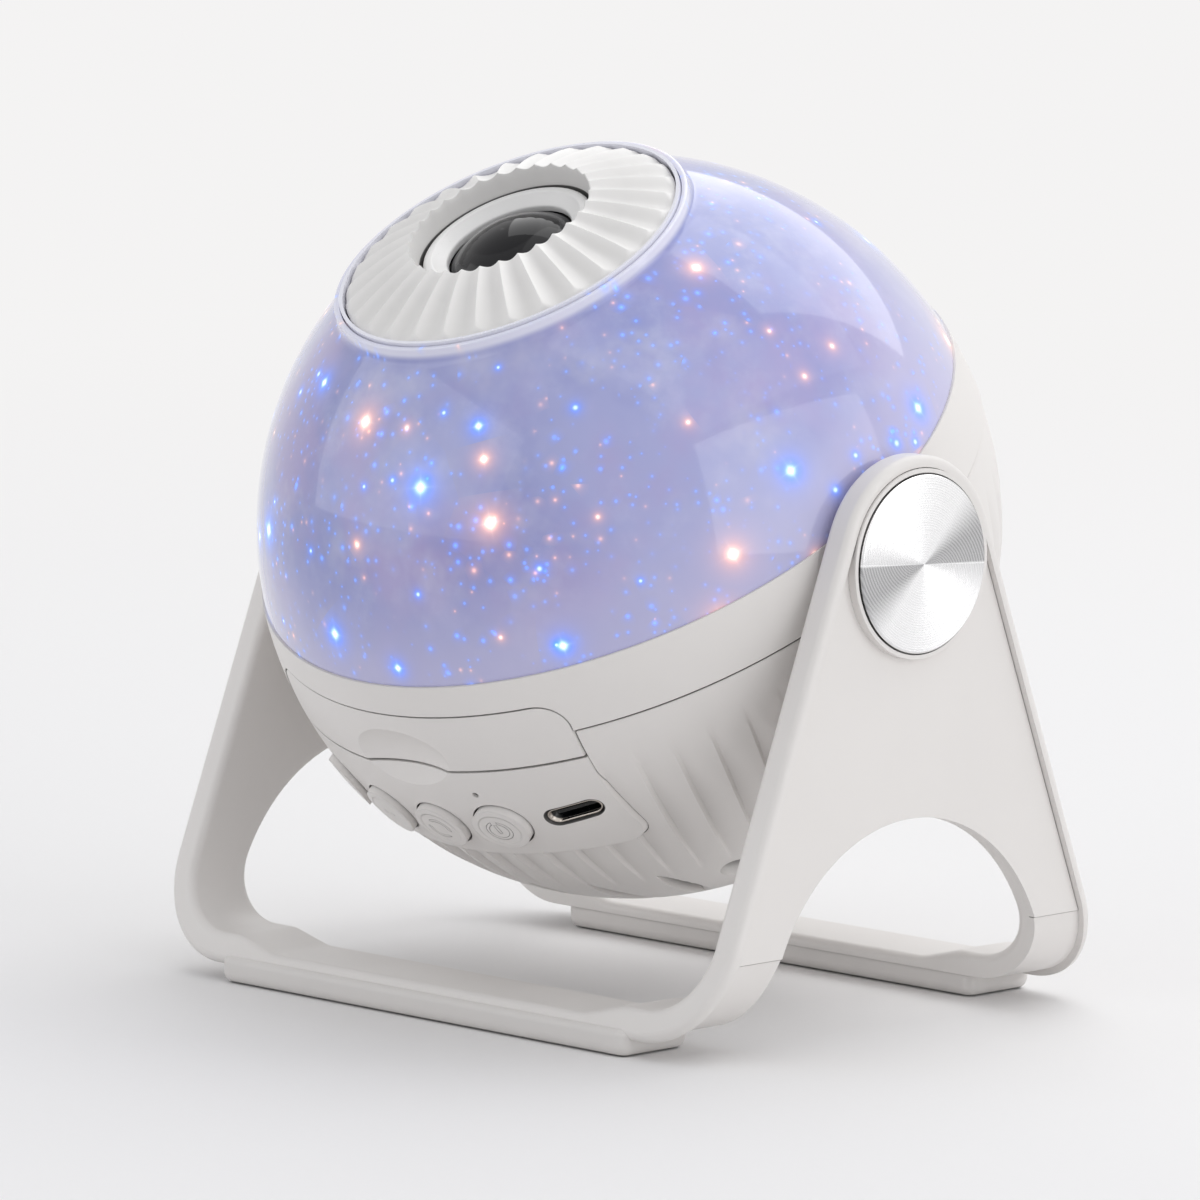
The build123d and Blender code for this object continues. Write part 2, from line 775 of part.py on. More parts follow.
with BuildPart() as usb_socket:
    with BuildSketch(button_plane.offset(usb_face)):
        with Locations((usb_offset, 0)):
            SlotOverall(usb_width, usb_height)
    extrude(amount=-usb_length)
    with BuildSketch(button_plane.offset(usb_face)):
        with Locations((usb_offset, 0)):
            SlotOverall(usb_width - 2 * usb_wall, usb_height - 2 * usb_wall)
            Rectangle(usb_tongue_width, usb_tongue_height, mode=Mode.SUBTRACT)
    extrude(amount=-usb_pocket, mode=Mode.SUBTRACT)
    with BuildSketch(button_plane.offset(board_depth)):
        with Locations((usb_offset, 0)):
            Rectangle(usb_tongue_width, usb_height)
    extrude(amount=usb_face - usb_length - board_depth)
write(usb_socket, "usb_socket")

light_face = sqrt(front_radius**2 - light_offset**2 - light_rise**2) - light_sink
with BuildPart() as status_light_pipe:
    with BuildSketch(button_plane.offset(board_depth)):
        with Locations((light_offset, light_rise)):
            Circle(light_radius)
    extrude(amount=light_face - board_depth)
write(status_light_pipe, "status_light_pipe")

# ---------------------------------------------------------------- chassis and light engine
chassis_top = chassis_floor + chassis_thickness
board_back = board_depth - board_thickness + chassis_floor * sin(radians(button_dip))
chassis_front = board_back / cos(radians(button_dip)) - chassis_board_gap
chassis_radius = reach_at(inner_radius, chassis_floor) - running_gap
rail_inner = tray_half_width + running_gap
rail_outer = rail_inner + rail_wall
rail_top = running_gap + rail_lip_thickness
tray_foot = -tray_thickness

with BuildPart() as chassis:
    with BuildSketch(equator_plane.offset(chassis_floor)):
        Circle(chassis_radius)
        with Locations((0, -chassis_front)):
            Rectangle(2 * globe_radius, globe_radius, align=(Align.CENTER, Align.MAX), mode=Mode.SUBTRACT)
        for side in sides.values():
            with Locations((side * (trunnion_slot_x + globe_radius) / 2, 0)):
                slot_length = globe_radius - trunnion_slot_x
                Rectangle(slot_length, 2 * (boss_radius + running_gap), mode=Mode.SUBTRACT)
    extrude(amount=chassis_thickness)
    with BuildSketch(front_plane.offset(-rail_back)):
        with BuildLine():
            Polyline(
                (rail_outer, chassis_top),
                (rail_outer, rail_top),
                (rail_inner - rail_lip, rail_top),
                (rail_inner - rail_lip, running_gap),
                (rail_inner, running_gap),
                (rail_inner, tray_foot - running_gap),
                (rail_inner - rail_seat_width, tray_foot - running_gap),
                (rail_inner - rail_seat_width, chassis_top),
                close=True,
            )
        make_face()
        mirror(about=Plane.YZ)
    extrude(amount=rail_back + chassis_front)
    with BuildSketch(equator_plane.offset(chassis_top)):
        with Locations((0, rail_back)):
            stop_depth = rail_back - tray_back - running_gap
            Rectangle(2 * rail_outer, stop_depth, align=(Align.CENTER, Align.MAX))
    extrude(amount=rail_top - chassis_top)
    with BuildSketch(equator_plane.offset(chassis_top)):
        for start in (halo_post_angle, 180 - halo_post_angle):
            with PolarLocations(halo_post_reach, 2, start_angle=start):
                Circle(halo_post_radius)
    extrude(amount=halo_board_height - chassis_top)
    with BuildSketch(equator_plane.offset(chassis_floor)):
        with PolarLocations(well_reach, 4, start_angle=first_well):
            Circle(chassis_post_radius)
    extrude(amount=well_top - chassis_floor)
    with BuildSketch(equator_plane.offset(well_top)):
        with PolarLocations(well_reach, 4, start_angle=first_well):
            Circle(bowl_screw_radius)
    extrude(amount=bowl_screw_length, mode=Mode.SUBTRACT)
    with BuildSketch(equator_plane.offset(chassis_floor)):
        Circle(condenser_radius + running_gap)
    extrude(amount=chassis_thickness, mode=Mode.SUBTRACT)
write(chassis, "chassis")

with BuildPart() as bowl_screws:
    with BuildSketch(equator_plane.offset(well_floor_height)):
        with PolarLocations(well_reach, 4, start_angle=first_well):
            Circle(bowl_screw_head)
    extrude(amount=-bowl_screw_head_height)
    with BuildSketch(equator_plane.offset(well_floor_height)):
        with PolarLocations(well_reach, 4, start_angle=first_well):
            Circle(bowl_screw_radius - seat_gap / 2)
    extrude(amount=bowl_screw_length)
write(bowl_screws, "bowl_screws")

tunnel_seat = chassis_floor - tunnel_seat_depth
with BuildPart() as light_tunnel:
    ring_about_pole([
        (tunnel_bore, led_board_top),
        (tunnel_bore + tunnel_wall, led_board_top),
        (tunnel_bore + tunnel_wall, chassis_floor - tunnel_flange_thickness),
        (tunnel_flange, chassis_floor - tunnel_flange_thickness),
        (tunnel_flange, chassis_floor),
        (condenser_radius + seat_gap, chassis_floor),
        (condenser_radius + seat_gap, tunnel_seat),
        (tunnel_bore, tunnel_seat),
    ])
write(light_tunnel, "light_tunnel")


def dome_lens(seat, radius, edge, dome_radius, curve, way):
    """A lens with a flat seat, a straight edge and one domed face; way is 1 for a dome towards the pole."""
    centre = seat + way * (edge - sqrt(curve**2 - dome_radius**2))
    half_reach = dome_radius / 2
    with BuildSketch(front_plane) as profile:
        with BuildLine():
            Polyline(
                (0, seat), (radius, seat), (radius, seat + way * edge), (dome_radius, seat + way * edge)
            )
            ThreePointArc(
                (dome_radius, seat + way * edge),
                (half_reach, centre + way * sqrt(curve**2 - half_reach**2)),
                (0, centre + way * curve),
            )
            Line((0, centre + way * curve), (0, seat))
        make_face()
    revolve(profile.sketch, axis=globe_axis)


with BuildPart() as condenser_lens:
    dome_lens(tunnel_seat, condenser_radius, condenser_edge, condenser_dome_radius, condenser_curve, 1)
write(condenser_lens, "condenser_lens")

led_board_foot = led_board_top - led_board_thickness
with BuildPart() as led_board:
    with BuildSketch(equator_plane.offset(led_board_top)):
        Circle(led_board_radius)
    extrude(amount=-led_board_thickness)
write(led_board, "led_board")

with BuildPart() as led_emitter:
    with BuildSketch(equator_plane.offset(led_board_top)):
        Rectangle(emitter_size, emitter_size)
    extrude(amount=emitter_height)
write(led_emitter, "led_emitter")

with BuildPart() as heat_sink:
    with BuildSketch(equator_plane.offset(led_board_foot)):
        with GridLocations(fin_pitch, 0, fin_count, 1):
            Rectangle(fin_thickness, 2 * led_board_radius)
    extrude(amount=-sink_height)
    with BuildSketch(equator_plane.offset(led_board_foot)):
        Circle(led_board_radius)
    extrude(amount=-sink_height, mode=Mode.INTERSECT)
    with BuildSketch(equator_plane.offset(led_board_foot)):
        Circle(led_board_radius)
    extrude(amount=-sink_base)
write(heat_sink, "heat_sink")

halo_top = halo_board_height + halo_board_thickness
with BuildPart() as halo_board:
    with BuildSketch(equator_plane.offset(halo_board_height)):
        Circle(halo_outer_radius)
        Circle(halo_inner_radius, mode=Mode.SUBTRACT)
    extrude(amount=halo_board_thickness)
write(halo_board, "halo_board")

with BuildPart() as halo_leds:
    with BuildSketch(equator_plane.offset(halo_top)):
        with PolarLocations(halo_led_reach, halo_led_count):
            Rectangle(halo_led_size, halo_led_size)
    extrude(amount=halo_led_height)
write(halo_leds, "halo_leds")

# ---------------------------------------------------------------- lens and focus ring
ring_top_radius = globe_radius + ring_proud
underside_radius = ring_top_radius - ring_wall
rim_inner = ring_radius - ring_rim_width
bead_radius = hub_radius + bead_proud
clear_height = ring_top_radius + tool_overrun
ring_rim_foot = globe_radius - ring_rim_drop
hub_foot = globe_radius - hub_drop
bead_top = hub_foot + bead_height
flange_top = globe_radius - flange_drop
collar_foot = globe_radius - collar_drop
key_foot = globe_radius - key_drop
barrel_top = globe_radius - barrel_drop
barrel_foot = globe_radius - barrel_foot_drop
front_seat = globe_radius - front_seat_drop
rear_seat = globe_radius - rear_seat_drop


def flute_section(reach, depth):
    """One flute's section where it is this far from the pole, steep on one side and hollow."""
    width = 2 * pi * reach / flute_count * flute_fill
    surface = reach_at(ring_top_radius, reach)
    with BuildSketch(Plane.XZ.offset(reach)) as section:
        with BuildLine():
            hollow_middle = (0, surface - flute_middle_share * depth)
            ThreePointArc((-width / 2, surface - depth), hollow_middle, (width / 2, surface))
            Polyline(
                (width / 2, surface),
                (width / 2, surface + flute_depth),
                (-width / 2, surface + flute_depth),
                (-width / 2, surface - depth),
            )
        make_face()
    return section.sketch


with BuildPart() as flute:
    loft(
        [
            flute_section(flute_inner_reach, flute_depth),
            flute_section(flute_middle_reach, flute_depth),
            flute_section(flute_outer_reach, flute_depth),
            flute_section(flute_end_reach, flute_end_depth),
        ],
        ruled=True,
    )

with BuildPart(equator_plane) as focus_ring:
    ring_about_pole([
        (ring_bore, hub_foot),
        (bead_radius, hub_foot),
        (bead_radius, bead_top),
        (hub_radius, bead_top),
        (hub_radius, reach_at(underside_radius, hub_radius)),
        (rim_inner, reach_at(underside_radius, rim_inner)),
        (rim_inner, ring_rim_foot),
        (ring_radius, ring_rim_foot),
        (ring_radius, clear_height),
        (ring_mouth, clear_height),
        (ring_mouth, reach_at(ring_top_radius, ring_mouth)),
        (ring_bore, barrel_top),
    ])
    Sphere(ring_top_radius, rotation=seam_down, mode=Mode.INTERSECT)
    with PolarLocations(0, flute_count):
        add(flute.part, mode=Mode.SUBTRACT)
write(focus_ring, "focus_ring")

guide_bore = barrel_radius + running_gap
guide_radius = guide_bore + collar_wall
step_top = hub_foot - running_gap
bead_bore = bead_radius + running_gap
hub_bore = hub_radius + running_gap
tube_radius = bead_bore + collar_wall
skirt_radius = dome_hole_radius - seat_gap
catch_height = bead_top + running_gap
key_angles = (0, 180)

with BuildPart(equator_plane) as lens_collar:
    ring_about_pole([
        (guide_bore, collar_foot),
        (guide_radius, collar_foot),
        (guide_radius, step_top - step_thickness),
        (tube_radius, step_top - step_thickness),
        (tube_radius, flange_top - flange_thickness),
        (skirt_radius - skirt_wall, flange_top - flange_thickness),
        (skirt_radius - skirt_wall, lip_top - lip_thickness),
        (lip_radius, lip_top - lip_thickness),
        (lip_radius, lip_top),
        (skirt_radius, lip_top),
        (skirt_radius, flange_top),
        (hub_bore, flange_top),
        (hub_bore, catch_height),
        (bead_bore, catch_height),
        (bead_bore, step_top),
        (guide_bore, step_top),
    ])
    slot_height = key_foot + key_length + focus_travel + running_gap - collar_foot
    with BuildSketch(equator_plane.offset(collar_foot)):
        with PolarLocations(guide_bore, len(key_angles)):
            Rectangle(2 * collar_wall + key_proud, key_width + 2 * running_gap)
    extrude(amount=slot_height, mode=Mode.SUBTRACT)
write(lens_collar, "lens_collar")

with BuildPart() as trim_ring:
    trim_inner = ring_radius + running_gap
    trim_top = neck_top + trim_proud
    ring_about_pole([
        (trim_inner, flange_top),
        (skirt_radius, flange_top),
        (skirt_radius, trim_top),
        (trim_inner, trim_top),
    ])
write(trim_ring, "trim_ring")

with BuildPart(equator_plane) as lens_barrel:
    with BuildSketch(equator_plane.offset(key_foot)):
        with PolarLocations(barrel_radius, len(key_angles)):
            Rectangle(2 * key_proud, key_width)
    extrude(amount=key_length)
    with BuildSketch(equator_plane.offset(barrel_foot)):
        Circle(barrel_radius)
    extrude(amount=barrel_top - barrel_foot)
    with BuildSketch(equator_plane.offset(barrel_foot)):
        Circle(barrel_light_bore)
    extrude(amount=barrel_top - barrel_foot, mode=Mode.SUBTRACT)
    with BuildSketch(equator_plane.offset(front_seat)):
        Circle(barrel_bore)
    extrude(amount=barrel_top - front_seat, mode=Mode.SUBTRACT)
    with BuildSketch(equator_plane.offset(rear_seat)):
        Circle(barrel_bore)
    extrude(amount=barrel_foot - rear_seat, mode=Mode.SUBTRACT)
write(lens_barrel, "lens_barrel")

lens_radius = barrel_bore - lens_fit
with BuildPart() as front_lens:
    dome_lens(front_seat, lens_radius, front_lens_edge, front_lens_dome_radius, front_lens_curve, 1)
write(front_lens, "front_lens")

with BuildPart() as rear_lens:
    dome_lens(rear_seat, lens_radius, rear_lens_edge, rear_lens_dome_radius, rear_lens_curve, -1)
write(rear_lens, "rear_lens")

retainer_foot = front_seat + front_lens_edge
with BuildPart() as lens_retainer:
    ring_about_pole([
        (front_lens_dome_radius + lens_fit, retainer_foot),
        (lens_radius, retainer_foot),
        (lens_radius, barrel_top - retainer_step),
        (retainer_land, barrel_top - retainer_step),
        (retainer_mouth, barrel_top - retainer_bevel),
        (retainer_mouth, retainer_foot + retainer_relief),
    ])
write(lens_retainer, "lens_retainer")

rear_ring_top = rear_seat - rear_lens_edge
with BuildPart() as rear_lens_ring:
    ring_about_pole([
        (rear_lens_dome_radius + lens_fit, rear_ring_top),
        (lens_radius, rear_ring_top),
        (lens_radius, rear_ring_top - rear_ring_height),
        (rear_lens_dome_radius + lens_fit, rear_ring_top - rear_ring_height),
    ])
write(rear_lens_ring, "rear_lens_ring")
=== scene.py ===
from functools import reduce
from math import asin, atan2, cos, degrees, pi, radians, sin, sqrt
from typing import NamedTuple

import bmesh
import bpy
from bpy.props import FloatProperty, FloatVectorProperty, IntProperty, PointerProperty
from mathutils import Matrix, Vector


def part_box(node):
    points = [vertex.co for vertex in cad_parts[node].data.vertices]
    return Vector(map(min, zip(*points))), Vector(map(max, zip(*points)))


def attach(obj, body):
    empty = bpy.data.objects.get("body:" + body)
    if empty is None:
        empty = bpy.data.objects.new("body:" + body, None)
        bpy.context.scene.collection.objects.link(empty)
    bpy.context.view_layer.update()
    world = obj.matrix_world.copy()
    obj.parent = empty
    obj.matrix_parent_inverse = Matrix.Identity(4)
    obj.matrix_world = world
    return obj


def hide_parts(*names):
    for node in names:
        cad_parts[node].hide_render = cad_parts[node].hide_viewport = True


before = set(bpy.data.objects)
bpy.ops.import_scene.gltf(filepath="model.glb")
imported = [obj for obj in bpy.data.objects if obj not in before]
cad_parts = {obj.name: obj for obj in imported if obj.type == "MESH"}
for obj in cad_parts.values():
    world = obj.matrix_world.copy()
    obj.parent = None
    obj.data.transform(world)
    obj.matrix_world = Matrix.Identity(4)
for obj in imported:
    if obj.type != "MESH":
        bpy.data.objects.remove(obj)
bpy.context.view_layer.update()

bl_info = {
    "name": "Planetarium projector",
    "version": (1, 0, 0),
    "blender": (4, 5, 0),
    "location": "View3D > Sidebar > Projector",
    "description": "Dresses a tilting planetarium projector and sets its studio stage",
    "category": "Add Mesh",
}

MM = 0.001

# The globe's own frame: pivot at its centre, pole through the lens, ahead where the drawer comes out.
PIVOT = Vector((0.0, 0.0, 0.075))
LEAN = radians(30.0)
POLE = Vector((0.0, -sin(LEAN), cos(LEAN)))
AHEAD = Vector((0.0, -cos(LEAN), -sin(LEAN)))
RIGHT = Vector((1.0, 0.0, 0.0))

# The button panel's frame dips below the drawer's direction.
DIP = radians(17.1)
BUTTON_WAY = AHEAD * cos(DIP) - POLE * sin(DIP)
BUTTON_UP = BUTTON_WAY.cross(RIGHT)

# Millimetres that shapes and their shading share.
GLOBE = 60.0
BOWL_INSIDE = 57.8
SIDE_FLAT = 58.0
MOUTH = 15.2
BUTTON_PITCH = 12.6
SOCKET_ACROSS = 25.4
SOCKET_HALF = 2.84

# What finishes share; noise scales are per metre.
# How far the painted gap shade looks for a nearby surface.
SEAM_SHADE_REACH = 0.7 * MM
DRIFT_SCALE = 28.0
GRAIN_SCALE = 2400.0
STREAK_SCALE = 900.0
BACKDROP = (0.905, 0.897, 0.895)
NEAR_BLACK = (0.012, 0.012, 0.014)

# Points nearer than WELD are one, and edges sharper than CREASE degrees stay sharp.
WELD = 2e-7
CREASE = 32.0


# -------------------------------- shader tools
def maths(operation, swapped=False):
    """A method of a socket that adds one Math node; swapped puts the other value first."""

    def method(self, other):
        first, second = (other, self) if swapped else (self, other)
        return self.math(operation, first, second)

    return method


class Wire:
    """A shader socket that takes part in sums: each operation adds its Math node."""

    def __init__(self, nodes, socket):
        self.nodes = nodes
        self.socket = socket

    def math(self, operation, first, second=0.0, clamp=False):
        settings = {"operation": operation, "use_clamp": clamp}
        return self.nodes.node("ShaderNodeMath", settings, {0: first, 1: second})

    __add__ = maths("ADD")
    __radd__ = maths("ADD", swapped=True)
    __sub__ = maths("SUBTRACT")
    __rsub__ = maths("SUBTRACT", swapped=True)
    __mul__ = maths("MULTIPLY")
    __rmul__ = maths("MULTIPLY", swapped=True)
    __truediv__ = maths("DIVIDE")
    __rtruediv__ = maths("DIVIDE", swapped=True)
    most = maths("MAXIMUM")
    over = maths("GREATER_THAN")

    def __neg__(self):
        return self * -1.0

    def __abs__(self):
        return self.math("ABSOLUTE", self)

    def held(self):
        """Held between 0 and 1."""
        return self.math("ADD", self, 0.0, clamp=True)

    def root(self):
        return self.math("SQRT", self)

    def exp(self):
        return self.math("EXPONENT", self)

    def sine(self):
        return self.math("SINE", self)

    def bell(self, width):
        """1 at zero, falling away on both sides."""
        return (-(self * self) * (1.0 / width**2)).exp()

    def step(self, start, end):
        """Rises smoothly from 0 at start to 1 at end."""
        settings = {"interpolation_type": "SMOOTHSTEP"}
        return self.nodes.node("ShaderNodeMapRange", settings, {0: self, 1: start, 2: end})

    def beside(self, output):
        """Another output of this socket's node."""
        return Wire(self.nodes, self.socket.node.outputs[output])


class Nodes:
    """A node tree and the tools that draw its nodes."""

    def __init__(self, tree):
        self.tree = tree

    def plug(self, socket, value):
        if isinstance(value, Wire):
            self.tree.links.new(value.socket, socket)
        elif hasattr(value, "__len__") and len(socket.default_value) == 4:
            socket.default_value = (*value[:3], 1.0)
        else:
            socket.default_value = value

    def node(self, kind, settings=None, inputs=None, output=0):
        made = self.tree.nodes.new(kind)
        for name, value in (settings or {}).items():
            setattr(made, name, value)
        for name, value in (inputs or {}).items():
            self.plug(made.inputs[name], value)
        return Wire(self, made.outputs[output])

    def seen(self):
        """1 where the camera looks, also by mirror or through glass."""
        path = self.node("ShaderNodeLightPath", output="Is Camera Ray")
        return path.most(path.beside("Is Glossy Ray")).most(path.beside("Is Transmission Ray"))

    def show(self, factor, first, second, output):
        """Show the second shader instead of the first by this factor."""
        mixed = self.node("ShaderNodeMixShader", {}, {0: factor, 1: first, 2: second})
        self.plug(self.tree.nodes[output].inputs["Surface"], mixed)


class Finish(Nodes):
    """One material, with the place that its nodes read."""

    def __init__(self, name):
        self.material = bpy.data.materials.new(name)
        self.material.use_nodes = True
        super().__init__(self.material.node_tree)
        self.shader = self.tree.nodes["Principled BSDF"]
        self.place = self.node("ShaderNodeTexCoord", output="Object")

    def set(self, **sockets):
        """Set sockets of the surface shader; base_color stands for Base Color."""
        for name, value in sockets.items():
            words = [word.upper() if word == "ior" else word.capitalize() for word in name.split("_")]
            self.plug(self.shader.inputs[" ".join(words)], value)

    def vector(self, operation, first, second=None, output=0):
        inputs = {0: first} if second is None else {0: first, 1: second}
        return self.node("ShaderNodeVectorMath", {"operation": operation}, inputs, output)

    def dot(self, first, second):
        return self.vector("DOT_PRODUCT", first, second, "Value")

    def length(self, value):
        return self.vector("LENGTH", value, output="Value")

    def scaled(self, value, amount):
        """A colour or a direction scaled by an amount."""
        return self.node("ShaderNodeVectorMath", {"operation": "SCALE"}, {0: value, "Scale": amount})

    def along(self, way):
        """How far a place lies from the pivot along a direction."""
        return self.dot(self.place, way) - PIVOT.dot(way)

    def centred(self):
        return self.vector("SUBTRACT", self.place, PIVOT)

    def about_pole(self):
        """A place's height along the pole and its reach from it."""
        centred = self.centred()
        height = self.dot(centred, POLE)
        return height, (self.dot(centred, centred) - height * height).most(0.0).root()

    def blend(self, factor, first, second):
        return self.node("ShaderNodeMix", {"data_type": "RGBA"}, {0: factor, 6: first, 7: second}, 2)

    def noise(self, place, scale, detail=2.0, roughness=0.5, offset=None):
        if offset:
            place = self.vector("ADD", place, offset)
        inputs = {"Vector": place, "Scale": scale, "Detail": detail, "Roughness": roughness}
        return self.node("ShaderNodeTexNoise", {}, inputs)

    def bump(self, height, distance, strength=1.0, normal=None):
        inputs = {"Height": height, "Distance": distance, "Strength": strength}
        if normal:
            inputs["Normal"] = normal
        return self.node("ShaderNodeBump", {}, inputs)

    def crevice_shade(self):
        """Painted shade: 1 deep inside a narrow gap between surfaces, 0 in the open."""
        inputs = {"Distance": SEAM_SHADE_REACH}
        return 1.0 - self.node("ShaderNodeAmbientOcclusion", {"samples": 5}, inputs, "AO").step(0.22, 0.40)

    def soft_edges(self, radius):
        """The surface's normal with its sharp edges rounded over."""
        return self.node("ShaderNodeBevel", {"samples": 6}, {"Radius": radius})


# -------------------------------- mesh tools
def closed_mesh(name, vertices, faces):
    """A mesh with its doubled points welded and its faces turned outwards."""
    mesh = bpy.data.meshes.new(name)
    mesh.from_pydata(vertices, [], faces)
    mesh.validate()
    work = bmesh.new()
    work.from_mesh(mesh)
    bmesh.ops.remove_doubles(work, verts=work.verts, dist=WELD)
    bmesh.ops.recalc_face_normals(work, faces=work.faces)
    work.to_mesh(mesh)
    work.free()
    return mesh


def smooth(mesh, crease):
    mesh.shade_smooth()
    mesh.set_sharp_from_angle(angle=radians(crease))


def placed(name, data):
    """A new object of the scene."""
    made = bpy.data.objects.new(name, data)
    bpy.context.scene.collection.objects.link(made)
    return made


def new_piece(name, shape, body, finish, crease=CREASE):
    """A smooth mesh piece that rides on a body and takes the finish it is given."""
    mesh = closed_mesh(name, *shape)
    smooth(mesh, crease)
    piece = placed(name, mesh)
    mesh.materials.append(finish)
    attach(piece, body)
    return piece


def turned(rows, angles, place):
    """Vertices and faces of a closed profile carried once round; place gives each point."""
    across = len(rows)
    vertices = [place(row, angle) for angle in angles for row in rows]
    faces = []
    for turn in range(len(angles)):
        here = turn * across
        after = (turn + 1) % len(angles) * across
        for row in range(across):
            below = (row + 1) % across
            faces.append((here + row, after + row, after + below, here + below))
    return vertices, faces


def even_angles(count):
    return [2 * pi * turn / count for turn in range(count)]


def circle(radius):
    return [(radius * cos(turn), radius * sin(turn)) for turn in even_angles(40)]


def profile_arc(centre, radius, start, end, count):
    """Points of an arc of a profile, angles in degrees from the reach towards the pole."""
    turns = [radians(start + (end - start) * step / count) for step in range(count + 1)]
    return [(centre[0] + radius * cos(turn), centre[1] + radius * sin(turn)) for turn in turns]


def eased(points, radius, steps=4):
    """A closed outline with each corner rounded by up to this radius."""
    out = []
    for index, corner in enumerate(points):
        before = Vector(points[index - 1])
        here = Vector(corner)
        after = Vector(points[(index + 1) % len(points)])
        reach_in = min(radius, (here - before).length * 0.45)
        reach_out = min(radius, (after - here).length * 0.45)
        start = here + (before - here).normalized() * reach_in
        end = here + (after - here).normalized() * reach_out
        for step in range(steps + 1):
            t = step / steps
            bent = start * (1 - t) ** 2 + here * 2 * t * (1 - t) + end * t**2
            out.append(tuple(bent))
    return out


def globe_place(reach, height, angle):
    """A point from its reach and height about the pole in millimetres; angle 0 is ahead."""
    return PIVOT + (AHEAD * cos(angle) + RIGHT * sin(angle)) * (reach * MM) + POLE * (height * MM)


def held_flat(point):
    """The point moved onto the globe's side flats where it would pass them."""
    point.x = max(-SIDE_FLAT * MM, min(SIDE_FLAT * MM, point.x))
    return point


def prism(outline, origin, across, rise, way, near, far):
    """A closed block: an outline carried along a direction, in millimetres from near to far."""
    count = len(outline)
    vertices = [
        origin + across * (u * MM) + rise * (v * MM) + way * (depth * MM)
        for depth in (near, far) for u, v in outline
    ]
    faces = [tuple(range(count)), tuple(range(2 * count - 1, count - 1, -1))]
    for corner in range(count):
        after = (corner + 1) % count
        faces.append((corner, corner + count, after + count, after))
    return vertices, faces


def cut_away(piece, blocks):
    """Cut blocks out of a piece and smooth what is left."""
    cutters = [placed("cutter", closed_mesh("cutter", *block)) for block in blocks]
    for cutter in cutters:
        cut = piece.modifiers.new("cut", "BOOLEAN")
        cut.operation = "DIFFERENCE"
        cut.solver = "EXACT"
        cut.object = cutter
    ready = piece.evaluated_get(bpy.context.evaluated_depsgraph_get())
    carved = bpy.data.meshes.new_from_object(ready)
    piece.modifiers.clear()
    piece.data = carved
    for cutter in cutters:
        bpy.data.objects.remove(cutter)
    smooth(carved, CREASE)


def dress(finish, *nodes):
    """Give CAD nodes a finish; their meshes stay as they are."""
    for node in nodes:
        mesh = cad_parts[node].data
        mesh.materials.clear()
        mesh.materials.append(finish)


# -------------------------------- finishes
def darker(colour, share):
    return [channel * share for channel in colour]


def satin(finish, colour):
    """Moulded plastic's slow drift of tone, its fine grain and its colour."""
    drift = finish.noise(finish.place, DRIFT_SCALE, 3.0)
    speck = finish.noise(finish.place, GRAIN_SCALE, 2.0, 0.6)
    return drift, speck, finish.blend((drift - 0.3) * 1.6, colour, darker(colour, 0.955))


def moulded_plastic(name, colour, grain, roughness, edge=0.0, shaded=None, shade_seams=True):
    """Satin plastic, with painted shade in its narrow gaps and where shaded says."""
    finish = Finish(name)
    drift, speck, tone = satin(finish, colour)
    dark = darker(colour, 0.12)
    # Painted shade in narrow gaps and at contacts, from ambient occlusion.
    if shade_seams:
        tone = finish.blend(finish.crevice_shade(), tone, dark)
    if shaded:
        tone = finish.blend(shaded(finish), tone, dark)
    normal = finish.soft_edges(edge) if edge else None
    finish.set(
        base_color=tone,
        roughness=roughness + (speck - 0.5) * 0.12 + (drift - 0.5) * 0.1,
        normal=finish.bump(speck, grain, 0.6, normal),
    )
    return finish.material


def shell_plastic(shell, name, edge, shaded=None):
    return moulded_plastic(name, shell.colour, shell.grain, shell.roughness, edge, shaded)


def bowl_shade(finish):
    """Painted shade in the groove under the belt, and a little of it in the pleats and vents."""
    sunk = GLOBE - finish.length(finish.centred()) * (1.0 / MM)
    open_side = 1.0 - abs(finish.along(RIGHT)).step(57.6 * MM, 57.9 * MM)
    hollow = (sunk.step(0.2, 1.2) * 0.12 + sunk.step(0.9, 1.85) * 0.5) * open_side
    return finish.along(POLE).step(-0.42 * MM, -0.385 * MM).most(hollow)


def mouth_shade(finish):
    """Painted shade at the foot of the focus ring's mouth beside the barrel, and a little on its wall and in
    its flutes.
    """
    height, reach = finish.about_pole()
    foot = (1.0 - height.step(55.75 * MM, 56.0 * MM)) * (1.0 - reach.over((MOUTH + 0.8) * MM))
    wall = (1.0 - reach.over((MOUTH + 0.2) * MM)) * 0.16
    flutes = (1.0 - finish.length(finish.centred()).step(60.5 * MM, 61.7 * MM)) * 0.10
    return foot.most(wall).most(flutes)


def slot_shade(finish):
    """Painted shade on the wall of the panel's socket slot."""
    beside = (abs(finish.along(RIGHT) - SOCKET_ACROSS * MM) - SOCKET_HALF * MM).most(0.0)
    rise = finish.along(BUTTON_UP)
    return 1.0 - (beside * beside + rise * rise).root().step(2.02 * MM, 2.10 * MM)


class StarLayer(NamedTuple):
    """One size of star, on a sphere of radius 1."""

    scale: float  # cells per unit, each with one star
    skin: float  # how near the sphere a star has to be
    share: float  # share of the stars that is lit
    core: float
    halo: float
    power: float
    offset: tuple
    spikes: bool = False
    dusty: bool = False  # gathered in clouds, with softer hearts
    cool_share: float = 0.64


STAR_LAYERS = (
    StarLayer(4.2, 0.062, 0.62, 0.0120, 0.0230, 1.00, (7.3, 2.1, 4.4), spikes=True),
    StarLayer(9.5, 0.020, 0.34, 0.0056, 0.0100, 0.75, (1.7, 8.8, 3.2)),
    StarLayer(21.0, 0.014, 0.46, 0.0052, 0.0070, 0.42, (5.5, 0.4, 9.1), dusty=True, cool_share=0.8),
    StarLayer(38.0, 0.008, 0.46, 0.0036, 0.0046, 0.30, (2.2, 6.6, 0.8), dusty=True, cool_share=0.85),
)
